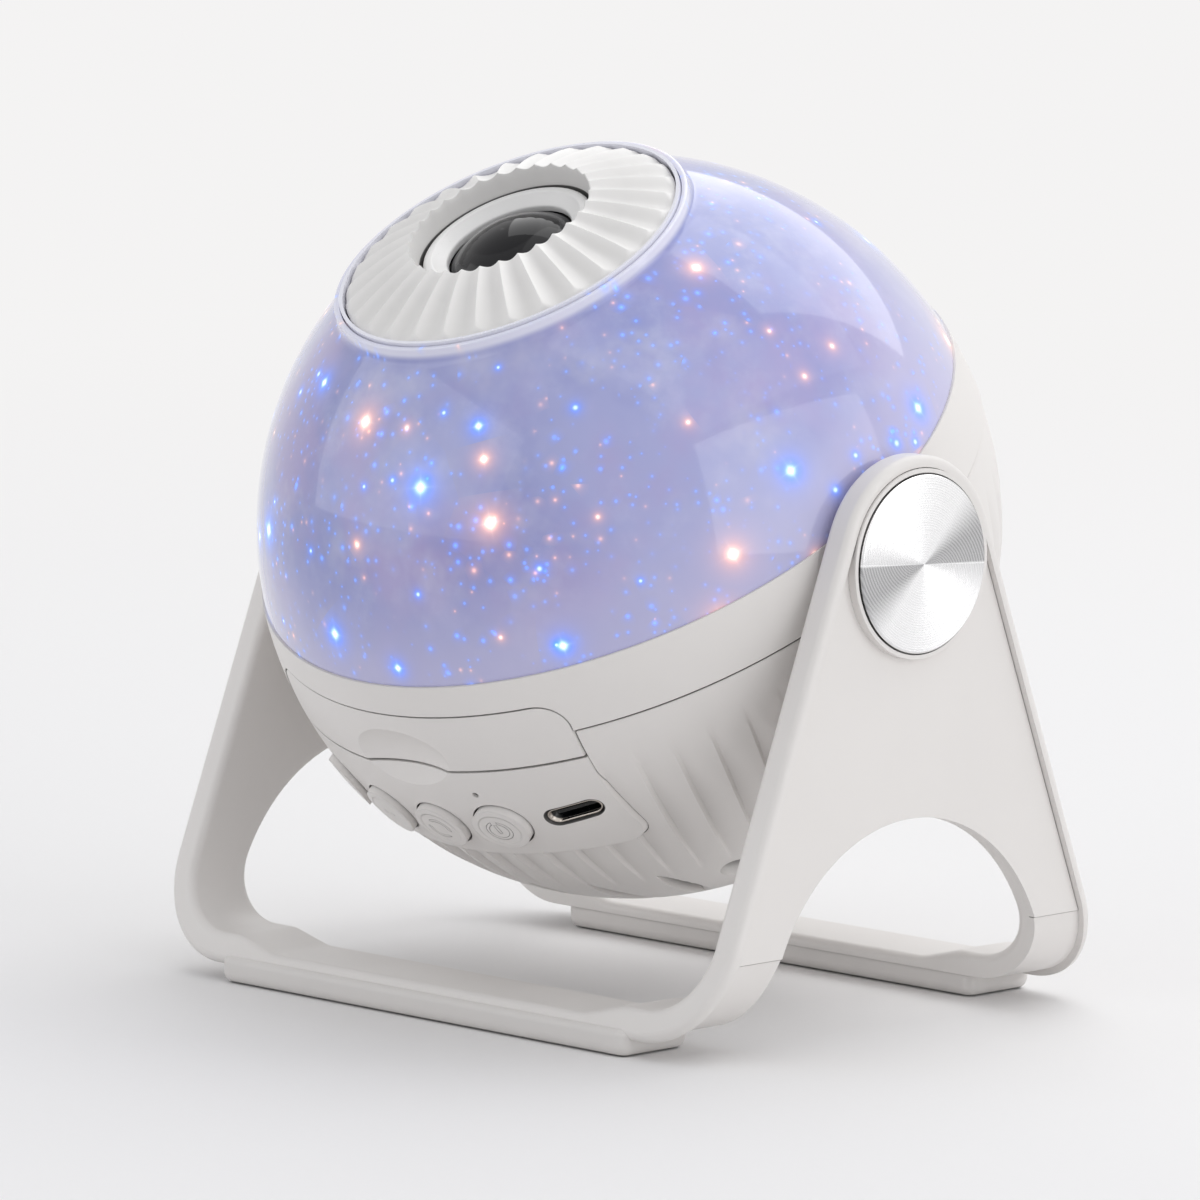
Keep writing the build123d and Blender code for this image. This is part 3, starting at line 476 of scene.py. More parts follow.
# Colours of a cool and a warm star.
CLEAR_HEARTS = ((0.80, 0.95, 1.0), (1.0, 0.93, 0.80))
DUSTY_HEARTS = ((0.16, 0.42, 1.0), (0.95, 0.50, 0.36))
HALOS = ((0.0, 0.20, 1.0), (0.58, 0.24, 0.14))


def printed_cloud_and_sheen(finish, way, height, settings):
    """The drifting violet cloud, paler at the foot and at the neck, and its wisps, with a painted sheen that
    makes one side paler.
    """
    cloud = finish.noise(way, 1.9, 4.0, 0.55)
    wisp = finish.noise(way, 4.6, 5.0, 0.62)
    mist = finish.noise(way, 3.1, 4.0, 0.6, (9.1, 2.7, 6.3))
    blush = finish.noise(way, 2.4, 4.0, 0.55, (3.1, 1.7, 5.3))
    sheen_side = finish.dot(way, Vector((0.66, 0.66, 0.36)))
    sky = finish.blend(cloud.step(0.34, 0.66), settings.deep_sky, settings.pale_sky)
    for share, colour in (
        (blush.step(0.45, 0.70) * 0.55, settings.blush),
        (wisp.step(0.5, 0.8) * 0.35, (0.62, 0.64, 0.86)),
        (mist.step(0.5, 0.74) * 0.4, (0.66, 0.66, 0.80)),
        # Painted sheen: paler on the side facing right, back and up.
        (sheen_side.step(0.62, 1.0) * 0.6, (0.66, 0.65, 0.84)),
        (height.step(0.52, 0.16) * 0.85, (0.54, 0.525, 0.76)),
        (height.step(0.872, 0.892) * 0.9, (0.82, 0.82, 0.94)),
    ):
        sky = finish.blend(share, sky, colour)
    return sky, wisp


def star_light(finish, way, layer, dust):
    """The glow of one layer of stars, and how far its cool and its warm halos cover the print."""
    inputs = {"Vector": finish.vector("ADD", way, layer.offset), "Scale": layer.scale}
    cells = finish.node("ShaderNodeTexVoronoi", {}, inputs, "Color")
    pick = finish.node("ShaderNodeSeparateColor", {}, {0: cells})
    size = pick.beside(1)
    warm = pick.beside(2).over(layer.cool_share)
    centre = finish.vector("SUBTRACT", cells.beside("Position"), layer.offset)
    depth = finish.length(centre) - 1.0
    seat = finish.vector("NORMALIZE", centre)
    apart = finish.vector("SUBTRACT", way, seat)
    gate = (1.0 - abs(depth).over(layer.skin)) * (1.0 - pick.over(layer.share))
    spread = 0.62 + size * 0.62
    reach = finish.length(apart) / spread
    heart = reach.bell(layer.core)
    halo = (reach * (-1.0 / layer.halo)).exp()
    if layer.spikes:
        long_fade, wide_fade = -90.0, -260.0
        east = finish.vector("NORMALIZE", finish.vector("CROSS_PRODUCT", seat, POLE))
        north = finish.vector("CROSS_PRODUCT", seat, east)
        side = abs(finish.dot(apart, east)) / spread
        rise = abs(finish.dot(apart, north)) / spread
        upright = (side * wide_fade + rise * long_fade).exp()
        level = (rise * wide_fade + side * long_fade).exp()
        heart = heart + (upright + level) * 0.55
    power = gate * layer.power * (dust if layer.dusty else 1.0)
    hearts = DUSTY_HEARTS if layer.dusty else CLEAR_HEARTS
    around = halo * power
    lights = [
        finish.vector("ADD", finish.scaled(colour, heart * power * full), finish.scaled(ring, around))
        for colour, full, ring in zip(hearts, (1.0, 0.8), HALOS)
    ]
    cover = (around * 1.5).held()
    return finish.blend(warm, *lights), cover * (1.0 - warm), cover * warm


def night_sky(settings):
    """Gloss plastic over a printed night sky with glowing stars, and a painted sheen on one side."""
    finish = Finish("printed_sky")
    centred = finish.centred()
    way = finish.vector("NORMALIZE", centred)
    height = finish.dot(centred, POLE) * (1.0 / (GLOBE * MM))
    sky, wisp = printed_cloud_and_sheen(finish, way, height, settings)
    dust = finish.noise(way, 3.3, 3.0, 0.5, (0.7, 4.2, 2.8)).step(0.40, 0.62)
    layers = [star_light(finish, way, layer, dust) for layer in STAR_LAYERS]
    glows, cool_covers, warm_covers = zip(*layers)
    glow = reduce(lambda first, second: finish.vector("ADD", first, second), glows)
    sky = finish.blend(sum(cool_covers).held() * 0.85, sky, (0.03, 0.17, 0.95))
    sky = finish.blend(sum(warm_covers).held() * 0.7, sky, (0.85, 0.48, 0.40))
    finish.set(base_color=sky, roughness=0.14 + wisp * 0.04, normal=finish.bump(wisp, 2e-6, 0.2))
    finish.set(emission_color=glow, emission_strength=settings.star_power)
    finish.set(coat_weight=1.0, coat_roughness=0.045, ior=1.47, specular_ior_level=0.15)
    return finish.material


def spun_metal(settings):
    """Turned aluminium: fine rings that tilt the surface in and out, and two pairs of darker wedges, a
    painted reflection of the turned rings.
    """
    finish = Finish("spun_metal")
    out = finish.vector("MULTIPLY", finish.centred(), Vector((0.0, 1.0, 1.0)))
    reach = finish.length(out)
    ring = finish.node("ShaderNodeCombineXYZ", {}, {0: reach})
    coarse = finish.noise(ring, 5200.0, 2.0, 0.7)
    cuts = (reach * (2 * pi / settings.ring_pitch)).sine()
    flat = finish.node("ShaderNodeNewGeometry", output="Normal")
    hub = reach.step(0.3 * MM, 1.2 * MM)
    swing = (cuts * 0.62 + (coarse - 0.5) * 1.5) * settings.ring_depth * hub
    tilt = finish.scaled(finish.vector("NORMALIZE", out), swing)
    normal = finish.vector("NORMALIZE", finish.vector("ADD", flat, tilt))

    # Painted reflection: two pairs of dark wedges across the disc, rippled like moiré.
    start = 0.07
    rise = finish.dot(out, Vector((0.0, 0.0, 1.0)))
    run = finish.dot(out, Vector((0.0, 1.0, 0.0)))
    heading = rise.math("ARCTAN2", rise, run) + start
    wedge = heading.math("FLOORED_MODULO", heading, pi)
    painted_wedges = wedge.step(0.0, 0.04) * (1.0 - wedge.step(0.40, 0.98))
    painted_wedges = painted_wedges.most(wedge.step(pi - 0.45, pi - 0.02) * 0.38)
    ripple = (reach * (2 * pi / (settings.ring_pitch * 3.1)) + wedge * 46.0).sine() * 0.16
    rings = (reach * (2 * pi / (settings.ring_pitch * 2.0))).sine() * 0.5 + 0.5
    tone = finish.blend((painted_wedges * (0.85 + ripple)).held(), (0.95, 0.95, 0.955), (0.37, 0.37, 0.375))
    tone = finish.blend(rings * 0.16 + coarse.step(0.45, 0.8) * 0.2, tone, (0.50, 0.50, 0.51))
    finish.set(base_color=tone, metallic=1.0, roughness=0.2 + coarse * 0.12, normal=normal)
    return finish.material


def plain_metal(name, colour, roughness):
    """Drawn or cast metal with fine streaks."""
    finish = Finish(name)
    streak = finish.noise(finish.place, STREAK_SCALE, 3.0, 0.7)
    finish.set(
        base_color=finish.blend(streak, colour, darker(colour, 0.8)),
        metallic=1.0,
        roughness=roughness + (streak - 0.5) * 0.2,
        normal=finish.bump(streak, 4e-6, 0.5),
    )
    return finish.material


def socket_steel():
    """Drawn steel at the mouth, near black further in: the black moulding of the tongue, and painted shade on
    the steel walls deeper in.
    """
    finish = Finish("socket_steel")
    # Near black deeper in: painted shade on the inner steel walls, as well as the dark tongue.
    shell = (finish.length(finish.centred()) * (1.0 / MM)).step(59.25, 59.5)
    streak = finish.noise(finish.place, STREAK_SCALE, 3.0, 0.7)
    finish.set(
        base_color=finish.blend(shell, (0.005, 0.005, 0.006), (0.62, 0.57, 0.52)),
        metallic=shell,
        roughness=0.25 + (streak - 0.5) * 0.15,
        normal=finish.bump(streak, 4e-6, 0.4),
    )
    return finish.material


def lens_glass(name, colour):
    """Clear glass with a faint bloom."""
    finish = Finish(name)
    bloom = finish.noise(finish.place, 120.0, 2.0)
    finish.set(
        base_color=finish.blend(bloom, colour, darker(colour, 0.9)),
        roughness=0.01 + bloom * 0.015,
        transmission_weight=1.0,
        coat_weight=0.6,
        ior=1.52,
    )
    return finish.material


def dark_lens():
    """Coated glass painted with the dark of the barrel behind it, partly the barrel's black and partly
    painted shade, with a faint band where an inner edge shows.
    """
    finish = Finish("front_glass")
    reach = finish.about_pole()[1] * (1.0 / MM)
    inner = 1.0 - reach.step(5.6, 6.2)
    band = reach.step(8.4, 8.7) * (1.0 - reach.step(9.3, 9.7))
    bloom = finish.noise(finish.place, 160.0, 2.0)
    # Painted shade: the opaque glass carries the dark of the barrel behind it.
    tone = finish.blend(inner, (0.016, 0.016, 0.018), (0.006, 0.006, 0.008))
    tone = finish.blend(band * 0.8, tone, (0.05, 0.05, 0.053))
    finish.set(base_color=tone, roughness=0.03 + bloom * 0.02, normal=finish.bump(bloom, 1e-6, 0.2), ior=1.3)
    return finish.material


def circuit_board(name, colour, trace):
    """Solder mask over copper runs."""
    finish = Finish(name)
    wander = finish.noise(finish.place, 140.0) * 6.0
    runs = (finish.along(RIGHT) * 2600.0 + wander).sine().step(0.55, 0.75)
    copper = runs * (finish.along(BUTTON_UP) * 2100.0).sine().step(0.2, 0.5)
    tone = finish.blend(copper, colour, trace)
    finish.set(base_color=tone, roughness=0.4, normal=finish.bump(copper, 3e-5, 0.6))
    return finish.material


def stroke(distance):
    """A line of a sign: 1 on it, 0 beside it."""
    return 1.0 - abs(distance).step(0.20, 0.36)


def button_sign(number, side, rise, reach):
    """The sign of each button: a ring, two dots, two turning arcs, the power sign."""
    if number == 0:
        return stroke(reach - 1.1)
    if number == 1:
        from_dot = abs(side) - 0.9
        return 1.0 - (from_dot * from_dot + rise * rise).root().step(0.28, 0.46)
    if number == 2:
        return stroke(reach - 2.0) * abs(side * 0.6 + rise * 0.8).step(0.75, 0.95)
    bar = stroke(side) * (1.0 - abs(rise - 0.45).step(0.95, 1.10))
    gap = abs(side).step(0.45, 0.65).most((-rise).step(0.0, 0.2))
    return bar.most(stroke(reach - 1.95) * gap)


def button_plastic(shell):
    """Satin plastic with a dished face and a raised sign on each button, painted shade along each sign's
    edges, all in millimetres.
    """
    finish = Finish("button_plastic")
    speck, tone = satin(finish, shell.colour)[1:]
    across = finish.along(RIGHT) * (1.0 / MM)
    rise = finish.along(BUTTON_UP) * (1.0 / MM)
    heights = []
    edges = []
    for number in range(4):
        side = across - (number - 2) * BUTTON_PITCH
        near = 1.0 - abs(side).over(6.0)
        reach = (side * side + rise * rise).root()
        sign = button_sign(number, side, rise, reach)
        heights.append((reach.step(3.35, 3.75) * 0.45 + sign) * near)
        # Painted shade along the edges of each raised sign.
        edges.append(sign * (1.0 - sign) * near)
    grain = finish.bump(speck, shell.grain, 0.6, finish.soft_edges(0.3 * MM))
    finish.set(
        base_color=finish.blend((sum(edges) * 2.2).held(), tone, darker(shell.colour, 0.4)),
        roughness=shell.roughness + (speck - 0.5) * 0.12,
        normal=finish.bump(sum(heights), 0.45 * MM, 1.0, grain),
    )
    return finish.material


# -------------------------------- settings
class DomeSettings(bpy.types.PropertyGroup):
    deep_sky: FloatVectorProperty(
        name="Deep sky", description="Darker tone of the printed sky", subtype="COLOR",
        default=(0.27, 0.30, 0.61), min=0.0, max=1.0,
    )
    pale_sky: FloatVectorProperty(
        name="Pale sky", description="Lighter tone of the printed sky", subtype="COLOR",
        default=(0.40, 0.42, 0.71), min=0.0, max=1.0,
    )
    blush: FloatVectorProperty(
        name="Blush", description="Rose tone of the drifting cloud", subtype="COLOR",
        default=(0.45, 0.35, 0.62), min=0.0, max=1.0,
    )
    star_power: FloatProperty(
        name="Star power", description="How brightly the stars glow", default=1.5, min=0.0, max=10.0
    )


class ShellSettings(bpy.types.PropertyGroup):
    colour: FloatVectorProperty(
        name="Shell colour", description="Colour of the moulded shells and the stand", subtype="COLOR",
        default=(0.79, 0.763, 0.742), min=0.0, max=1.0,
    )
    grain: FloatProperty(
        name="Grain", description="Height of the moulded grain", default=9e-6, min=0.0, subtype="DISTANCE"
    )
    roughness: FloatProperty(
        name="Roughness", description="How satin the plastic is", default=0.42, min=0.0, max=1.0,
        subtype="FACTOR",
    )


class DiscSettings(bpy.types.PropertyGroup):
    ring_pitch: FloatProperty(
        name="Ring pitch", description="Distance from one turned ring to the next", default=0.19 * MM,
        min=1e-5, subtype="DISTANCE",
    )
    ring_depth: FloatProperty(
        name="Ring depth", description="How strongly the turned rings tilt the surface", default=0.32, min=0.0
    )


class FlutingSettings(bpy.types.PropertyGroup):
    flutes: IntProperty(name="Flutes", description="Flutes round the focus ring", default=30, min=3)
    flute_depth: FloatProperty(
        name="Flute depth", description="Depth of a flute at its middle", default=1.25 * MM,
        min=0.0, subtype="DISTANCE",
    )
    pleats: IntProperty(name="Pleats", description="Pleats round the lower bowl", default=60, min=3)
    pleat_depth: FloatProperty(
        name="Pleat depth", description="Depth of a pleat at its steep side", default=1.25 * MM,
        min=0.0, subtype="DISTANCE",
    )


class StageSettings(bpy.types.PropertyGroup):
    floor: FloatVectorProperty(
        name="Floor", description="Colour of the floor and backdrop", subtype="COLOR",
        default=(0.85, 0.84, 0.84), min=0.0, max=1.0,
    )
    key_power: FloatProperty(
        name="Lamps", description="Power of a lamp whose share is 1", default=12.0, min=0.0, unit="POWER"
    )
    room: FloatProperty(
        name="Room light", description="Strength of the even light of the room", default=0.42, min=0.0
    )


class ProjectorSettings(bpy.types.PropertyGroup):
    dome: PointerProperty(type=DomeSettings, name="Dome", description="The printed dome")
    shell: PointerProperty(type=ShellSettings, name="Shell", description="The moulded plastic")
    disc: PointerProperty(type=DiscSettings, name="Cap discs", description="The turned metal discs")
    fluting: PointerProperty(type=FlutingSettings, name="Fluting", description="Flutes and pleats")
    stage: PointerProperty(type=StageSettings, name="Stage", description="Floor and lamps")


# -------------------------------- operators
class PROJECTOR_OT_stand(bpy.types.Operator):
    """Finish the stand, its side covers, pads and hidden bearing"""

    bl_idname = "projector.stand"
    bl_label = "Stand"

    def execute(self, context):
        shell = context.scene.projector.shell
        plastic = shell_plastic(shell, "stand_plastic", 0.12 * MM)
        dress(plastic, "stand_frame", "left_side_cover", "right_side_cover")
        rubber = moulded_plastic("pad_rubber", darker(shell.colour, 0.95), 1.5e-5, 0.55)
        dress(rubber, "front_foot_pad", "rear_foot_pad")
        steel = plain_metal("zinc_steel", (0.55, 0.55, 0.57), 0.35)
        dress(steel, "left_trunnion", "right_trunnion", "left_pivot_screw", "right_pivot_screw")
        dress(steel, "bowl_screws", "board_screws")
        fibre = moulded_plastic("washer_fibre", (0.04, 0.04, 0.045), 2e-5, 0.6)
        dress(fibre, "left_friction_washer", "right_friction_washer")
        return {"FINISHED"}


class PROJECTOR_OT_cap_discs(bpy.types.Operator):
    """Turn the metal discs over the pivots"""

    bl_idname = "projector.cap_discs"
    bl_label = "Cap discs"

    def execute(self, context):
        metal = spun_metal(context.scene.projector.disc)
        axis, bevel = 1e-6, 0.3 * MM
        for name, side in (("left", -1.0), ("right", 1.0)):
            node = name + "_cap_disc"
            low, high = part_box(node)
            face = high.x if side > 0 else -low.x
            back = low.x if side > 0 else -high.x
            radius = (high.z - low.z) / 2
            outline = [(axis, back), (radius, back), (radius, face - bevel), (radius - bevel, face)]
            outline.append((axis, face))

            def point(row, angle, side=side):
                return Vector((side * row[1], row[0] * cos(angle), PIVOT.z + row[0] * sin(angle)))

            shape = turned(eased(outline, 0.12 * MM), even_angles(192), point)
            disc = new_piece(name + "_turned_disc", shape, "stand", metal)
            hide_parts(node)
        return {"FINISHED"}


class PROJECTOR_OT_dome(bpy.types.Operator):
    """Build the printed dome and finish what lies under it"""

    bl_idname = "projector.dome"
    bl_label = "Dome"

    def execute(self, context):
        outer = GLOBE - 0.01
        inner = outer - 2.0
        neck, hole, top, lip = 29.9, 28.9, 54.4, 0.25
        foot, chamfer, fillet = 10.6, 0.12, 1.8
        centre = (0.0, 0.0)
        bend = (neck + fillet, sqrt((outer + fillet) ** 2 - (neck + fillet) ** 2))
        leave = degrees(atan2(bend[1], bend[0]))
        outline = [(hole, sqrt(inner**2 - hole**2)), (hole, top - lip)]
        outline += profile_arc((hole + lip, top - lip), lip, 180.0, 90.0, 5)
        outline += profile_arc((neck - lip, top - lip), lip, 90.0, 0.0, 5)
        outline += profile_arc(bend, fillet, 180.0, 180.0 + leave, 10)
        outline += profile_arc(centre, outer, leave, degrees(asin(foot / outer)) + 0.25, 150)[1:]
        outline += [(sqrt(outer**2 - foot**2) - chamfer, foot)]
        outline += profile_arc(centre, inner, degrees(asin(foot / inner)), degrees(asin(bend[1] / inner)), 40)

        def point(row, angle):
            return held_flat(globe_place(*row, angle))

        shape = turned(outline, even_angles(360), point)
        sky = night_sky(context.scene.projector.dome)
        dome = new_piece("printed_dome", shape, "globe", sky, 40.0)
        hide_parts("dome_cover")
        dress(moulded_plastic("liner_plastic", (0.60, 0.60, 0.62), 1e-5, 0.7), "star_liner")
        return {"FINISHED"}


class PROJECTOR_OT_shells(bpy.types.Operator):
    """Finish the belt and the trim, and build the bowl"""

    bl_idname = "projector.shells"
    bl_label = "Shells"

    def execute(self, context):
        settings = context.scene.projector
        dress(shell_plastic(settings.shell, "shell_plastic", 0.15 * MM), "belt_ring")
        dress(moulded_plastic("trim_plastic", (0.82, 0.82, 0.90), 4e-6, 0.25, shade_seams=False), "trim_ring")
        ribbed = shell_plastic(settings.shell, "bowl_plastic", 0.15 * MM, bowl_shade)
        bowl = self.bowl(settings.fluting, ribbed)
        cut_away(bowl, self.openings())
        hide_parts("lower_bowl")
        return {"FINISHED"}

    def bowl(self, fluting, finish):
        """The bowl with its pleats and scooped vents; rows are a radius and degrees off the pole."""
        pitch = 360.0 / fluting.pleats
        shares = (0.0, 0.02, 0.05, 0.09, 0.19, 0.31, 0.42, 0.5, 0.52, 0.59, 0.70, 0.82, 0.92)
        turns = [pitch * (0.5 + pleat + share) for pleat in range(fluting.pleats) for share in shares]
        lip = [(BOWL_INSIDE, -0.02), (58.6, -0.02), (58.7, -0.36), (59.75, -0.38), (59.93, -0.46)]
        rows = [(sqrt(reach**2 + height**2), degrees(atan2(reach, height))) for reach, height in lip]
        tilts = [90.6, 91.5, 93.0] + [94.5 + 0.9 * step for step in range(36)]
        tilts += [127.2 + 0.55 * step for step in range(42)] + [151.0 + 2.4 * step for step in range(12)]
        rows += [(GLOBE, tilt) for tilt in tilts] + [(GLOBE, 179.99), (BOWL_INSIDE, 179.99)]
        rows += [(BOWL_INSIDE, 176.0 - 4.0 * step) for step in range(22)]
        depth = fluting.pleat_depth / MM

        def point(row, turn):
            radius, tilt = row
            if radius == GLOBE:
                radius -= depth * self.pleat(tilt, turn, pitch) + self.vent(tilt, turn)
            lean = radians(tilt)
            return held_flat(globe_place(radius * sin(lean), radius * cos(lean), radians(turn)))

        return new_piece("pleated_bowl", turned(rows, turns, point), "globe", finish)

    def pleat(self, tilt, turn, pitch):
        """A pleat's share of its depth: steep on one side, running out on the other and at both ends."""
        width, wall_turn, softness = 5.4, 0.55, 0.02
        along = self.span(tilt, 95.5, 130.0)
        across = (turn - pitch / 2) % pitch
        if abs(along) >= 1.0 or across == 0.0:
            return 0.0
        lift = 1.0 - along**2 - self.arc(tilt, across) / width
        rounded = 0.5 * (lift + sqrt(lift**2 + softness)) - 0.05
        return min(1.0, across / wall_turn) * max(0.0, rounded)

    def vent(self, tilt, turn):
        """A vent's depth; the vents make room for the four screw wells."""
        width, depth, spacing, quarter, well = 3.2, 1.85, 15.0, 90.0, 45
        along = self.span(tilt, 127.8, 149.0)
        across = turn % spacing
        if abs(along) >= 1.0 or round((turn - across) % quarter) == well or across == 0.0:
            return 0.0
        lift = 1.0 - along**2 - (self.arc(tilt, across) / width) ** 1.4
        return depth * min(1.0, 1.9 * max(0.0, lift))

    def span(self, tilt, start, end):
        """Where a tilt lies between two others: -1 at the start, 1 at the end."""
        return (2.0 * tilt - start - end) / (end - start)

    def arc(self, tilt, turn):
        """Millimetres round the globe that a turn in degrees makes at this tilt."""
        return radians(turn) * GLOBE * sin(radians(tilt))

    def openings(self):
        """The opening behind drawer and panel, the two hinge bores and the four screw wells."""
        corner, half, low = 3.8, 32.3, -25.1
        field = [(-half, 20.0), (half, 20.0)]
        field += profile_arc((half - corner, low + corner), corner, 0.0, -90.0, 10)
        field += profile_arc((corner - half, low + corner), corner, -90.0, -180.0, 10)
        blocks = [prism(field, PIVOT, RIGHT, POLE, AHEAD, 30.0, 70.0)]
        for side in (-1.0, 1.0):
            blocks.append(prism(circle(8.1), PIVOT, AHEAD, POLE, RIGHT * side, 46.0, 70.0))
        for quarter in range(4):
            spot = globe_place(GLOBE * sin(radians(134.5)), 0.0, radians(45.0 + 90.0 * quarter))
            blocks.append(prism(circle(2.8), spot, AHEAD, RIGHT, POLE, -60.0, -32.0))
        return blocks


class PROJECTOR_OT_focus(bpy.types.Operator):
    """Build the fluted focus ring and the lens unit"""

    bl_idname = "projector.focus"
    bl_label = "Focus ring and lens"

    def execute(self, context):
        settings = context.scene.projector
        shell = settings.shell
        white = moulded_plastic(
            "ring_plastic", (0.88, 0.865, 0.85), shell.grain * 0.6, shell.roughness - 0.04,
            shaded=mouth_shade, shade_seams=False,
        )
        self.ring(settings.fluting, white)
        # A paler white than the shells, which also lifts the barrel out of the ring's shade: partly its own
        # colour, partly painted light.
        pale = moulded_plastic("barrel_plastic", (0.90, 0.89, 0.88), shell.grain * 0.5, 0.3, shade_seams=False)
        self.barrel(pale)
        dress(moulded_plastic("ring_grey", (0.20, 0.20, 0.215), 6e-6, 0.3), "rear_lens_ring")
        dress(dark_lens(), "front_lens")
        dress(lens_glass("inner_glass", (0.80, 0.84, 0.90)), "rear_lens", "condenser_lens")
        return {"FINISHED"}

    def barrel(self, finish):
        """The barrel with its rounded front edge and the cone that holds the lens."""
        outline = [(12.0, 35.5), (14.3, 35.5)] + profile_arc((13.3, 55.2), 1.0, 0.0, 90.0, 8)
        outline += profile_arc((12.75, 55.75), 0.45, 90.0, 150.0, 5)
        outline += [(11.6, 55.45), (11.0, 54.95)] + profile_arc((11.05, 54.4), 0.55, 130.0, 180.0, 4)
        outline += [(10.5, 53.75), (11.1, 53.15), (11.95, 53.08), (11.95, 51.0), (10.0, 51.0)]
        outline += [(10.0, 40.6), (12.0, 40.5)]

        def point(row, angle):
            return globe_place(*row, angle)

        shape = turned(outline, even_angles(160), point)
        barrel = new_piece("lens_tube", shape, "lens_unit", finish)
        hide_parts("lens_barrel", "lens_retainer")

    def ring(self, fluting, finish):
        """The focus ring: hollow flutes that run out at the rim, where each crest ends in a small facet."""
        dome, rim = 61.6, 27.9
        facet, facet_start, facet_run = 0.62, 26.8, 1.3
        pitch = 2 * pi / fluting.flutes
        steps = (0.0, 0.02, 0.06, 0.13, 0.22, 0.32, 0.42, 0.5, 0.58, 0.68, 0.78, 0.87, 0.94, 0.98)
        turns = [
            (pitch * (flute - 0.47 + step), self.hollow(step))
            for flute in range(fluting.flutes) for step in steps
        ]
        over_dome = [(MOUTH, -0.22), (MOUTH + 0.05, -0.08), (MOUTH + 0.16, -0.015)]
        over_dome += [(MOUTH + 0.3 + 0.5 * step, 0.0) for step in range(22)]
        over_dome += [(reach, 0.0) for reach in (26.4, 26.7, 26.95, 27.2, 27.45, 27.7)] + [(rim, -0.12)]
        rows = [(reach, sqrt(dome**2 - reach**2) + lift, self.share(reach)) for reach, lift in over_dome]
        under = [(rim, 52.0), (26.1, 52.0), (26.1, 53.1), (17.7, 56.5), (17.7, 46.0)]
        under += [(18.7, 46.0), (18.7, 44.8), (14.8, 44.8), (14.8, 56.2), (15.05, 58.3)]
        rows += [(reach, height, 0.0) for reach, height in under]
        depth = fluting.flute_depth / MM

        def point(row, turn):
            reach, height, share = row
            angle, hollow = turn
            sunk = share * max(hollow, min(facet, (reach - facet_start) / facet_run))
            return globe_place(reach, height - depth * sunk, angle)

        ring = new_piece("fluted_ring", turned(rows, turns, point), "focus", finish, 38.0)
        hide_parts("focus_ring")

    def hollow(self, step):
        """A flute's depth across it: a round trough between narrow crests."""
        return max(0.0, 1.03 * sin(pi * step) - 0.03)

    def share(self, reach):
        """A flute's depth along it: shallow at the mouth and a little less at the rim."""
        return min(1.0, 0.48 + (reach - MOUTH) / 10.0, 1.0 - (reach - 24.0) / 16.0)


class PROJECTOR_OT_front(bpy.types.Operator):
    """Finish the drawer, the panel and the buttons, and build the socket"""

    bl_idname = "projector.front"
    bl_label = "Drawer and panel"

    def execute(self, context):
        shell = context.scene.projector.shell
        dress(shell_plastic(shell, "front_plastic", 0.22 * MM, slot_shade), "disc_drawer", "control_panel")
        dress(button_plastic(shell), "mode_button", "timer_button", "light_button", "power_button")
        self.socket(socket_steel())
        return {"FINISHED"}

    def on_sphere(self, u, v, sphere):
        """A point of the socket, across and up from its middle, on a sphere about the pivot."""
        across = u + SOCKET_ACROSS
        depth = sqrt(sphere**2 - across**2 - v**2)
        return PIVOT + (RIGHT * across + BUTTON_UP * v + BUTTON_WAY * depth) * MM

    def socket(self, finish):
        """The charging socket: a thin shell with its mouth flush with the panel, and the tongue inside."""
        radius, wall, edge = 1.63, 0.3, 0.06
        back, mouth, face, floor = 56.5, 59.85, 59.92, 56.8
        loops = ((0.0, back), (0.0, mouth), (edge, face), (wall - edge, face), (wall, mouth), (wall, floor))
        vertices = []
        for shrink, sphere in loops:
            slot = profile_arc((SOCKET_HALF, 0.0), radius - shrink, -90.0, 90.0, 16)
            slot += profile_arc((-SOCKET_HALF, 0.0), radius - shrink, 90.0, 270.0, 16)
            vertices += [self.on_sphere(u, v, sphere) for u, v in slot]
        count = len(slot)
        last = (len(loops) - 1) * count
        faces = [tuple(range(count)), tuple(range(last, last + count))]
        for start in range(0, last, count):
            for corner in range(count):
                after = (corner + 1) % count
                faces.append((start + corner, start + after, start + count + after, start + count + corner))
        half, thick, first = 3.3, 0.35, len(vertices)
        for sphere in (floor - 0.1, 59.1):
            for u, v in ((-half, -thick), (half, -thick), (half, thick), (-half, thick)):
                vertices.append(self.on_sphere(u, 0.0, sphere) + BUTTON_UP * v * MM)
        sides = ((0, 1, 2, 3), (7, 6, 5, 4), (0, 4, 5, 1), (1, 5, 6, 2), (2, 6, 7, 3), (3, 7, 4, 0))
        faces += [tuple(first + corner for corner in side) for side in sides]
        socket = new_piece("charging_socket", (vertices, faces), "globe", finish, 40.0)
        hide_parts("usb_socket")


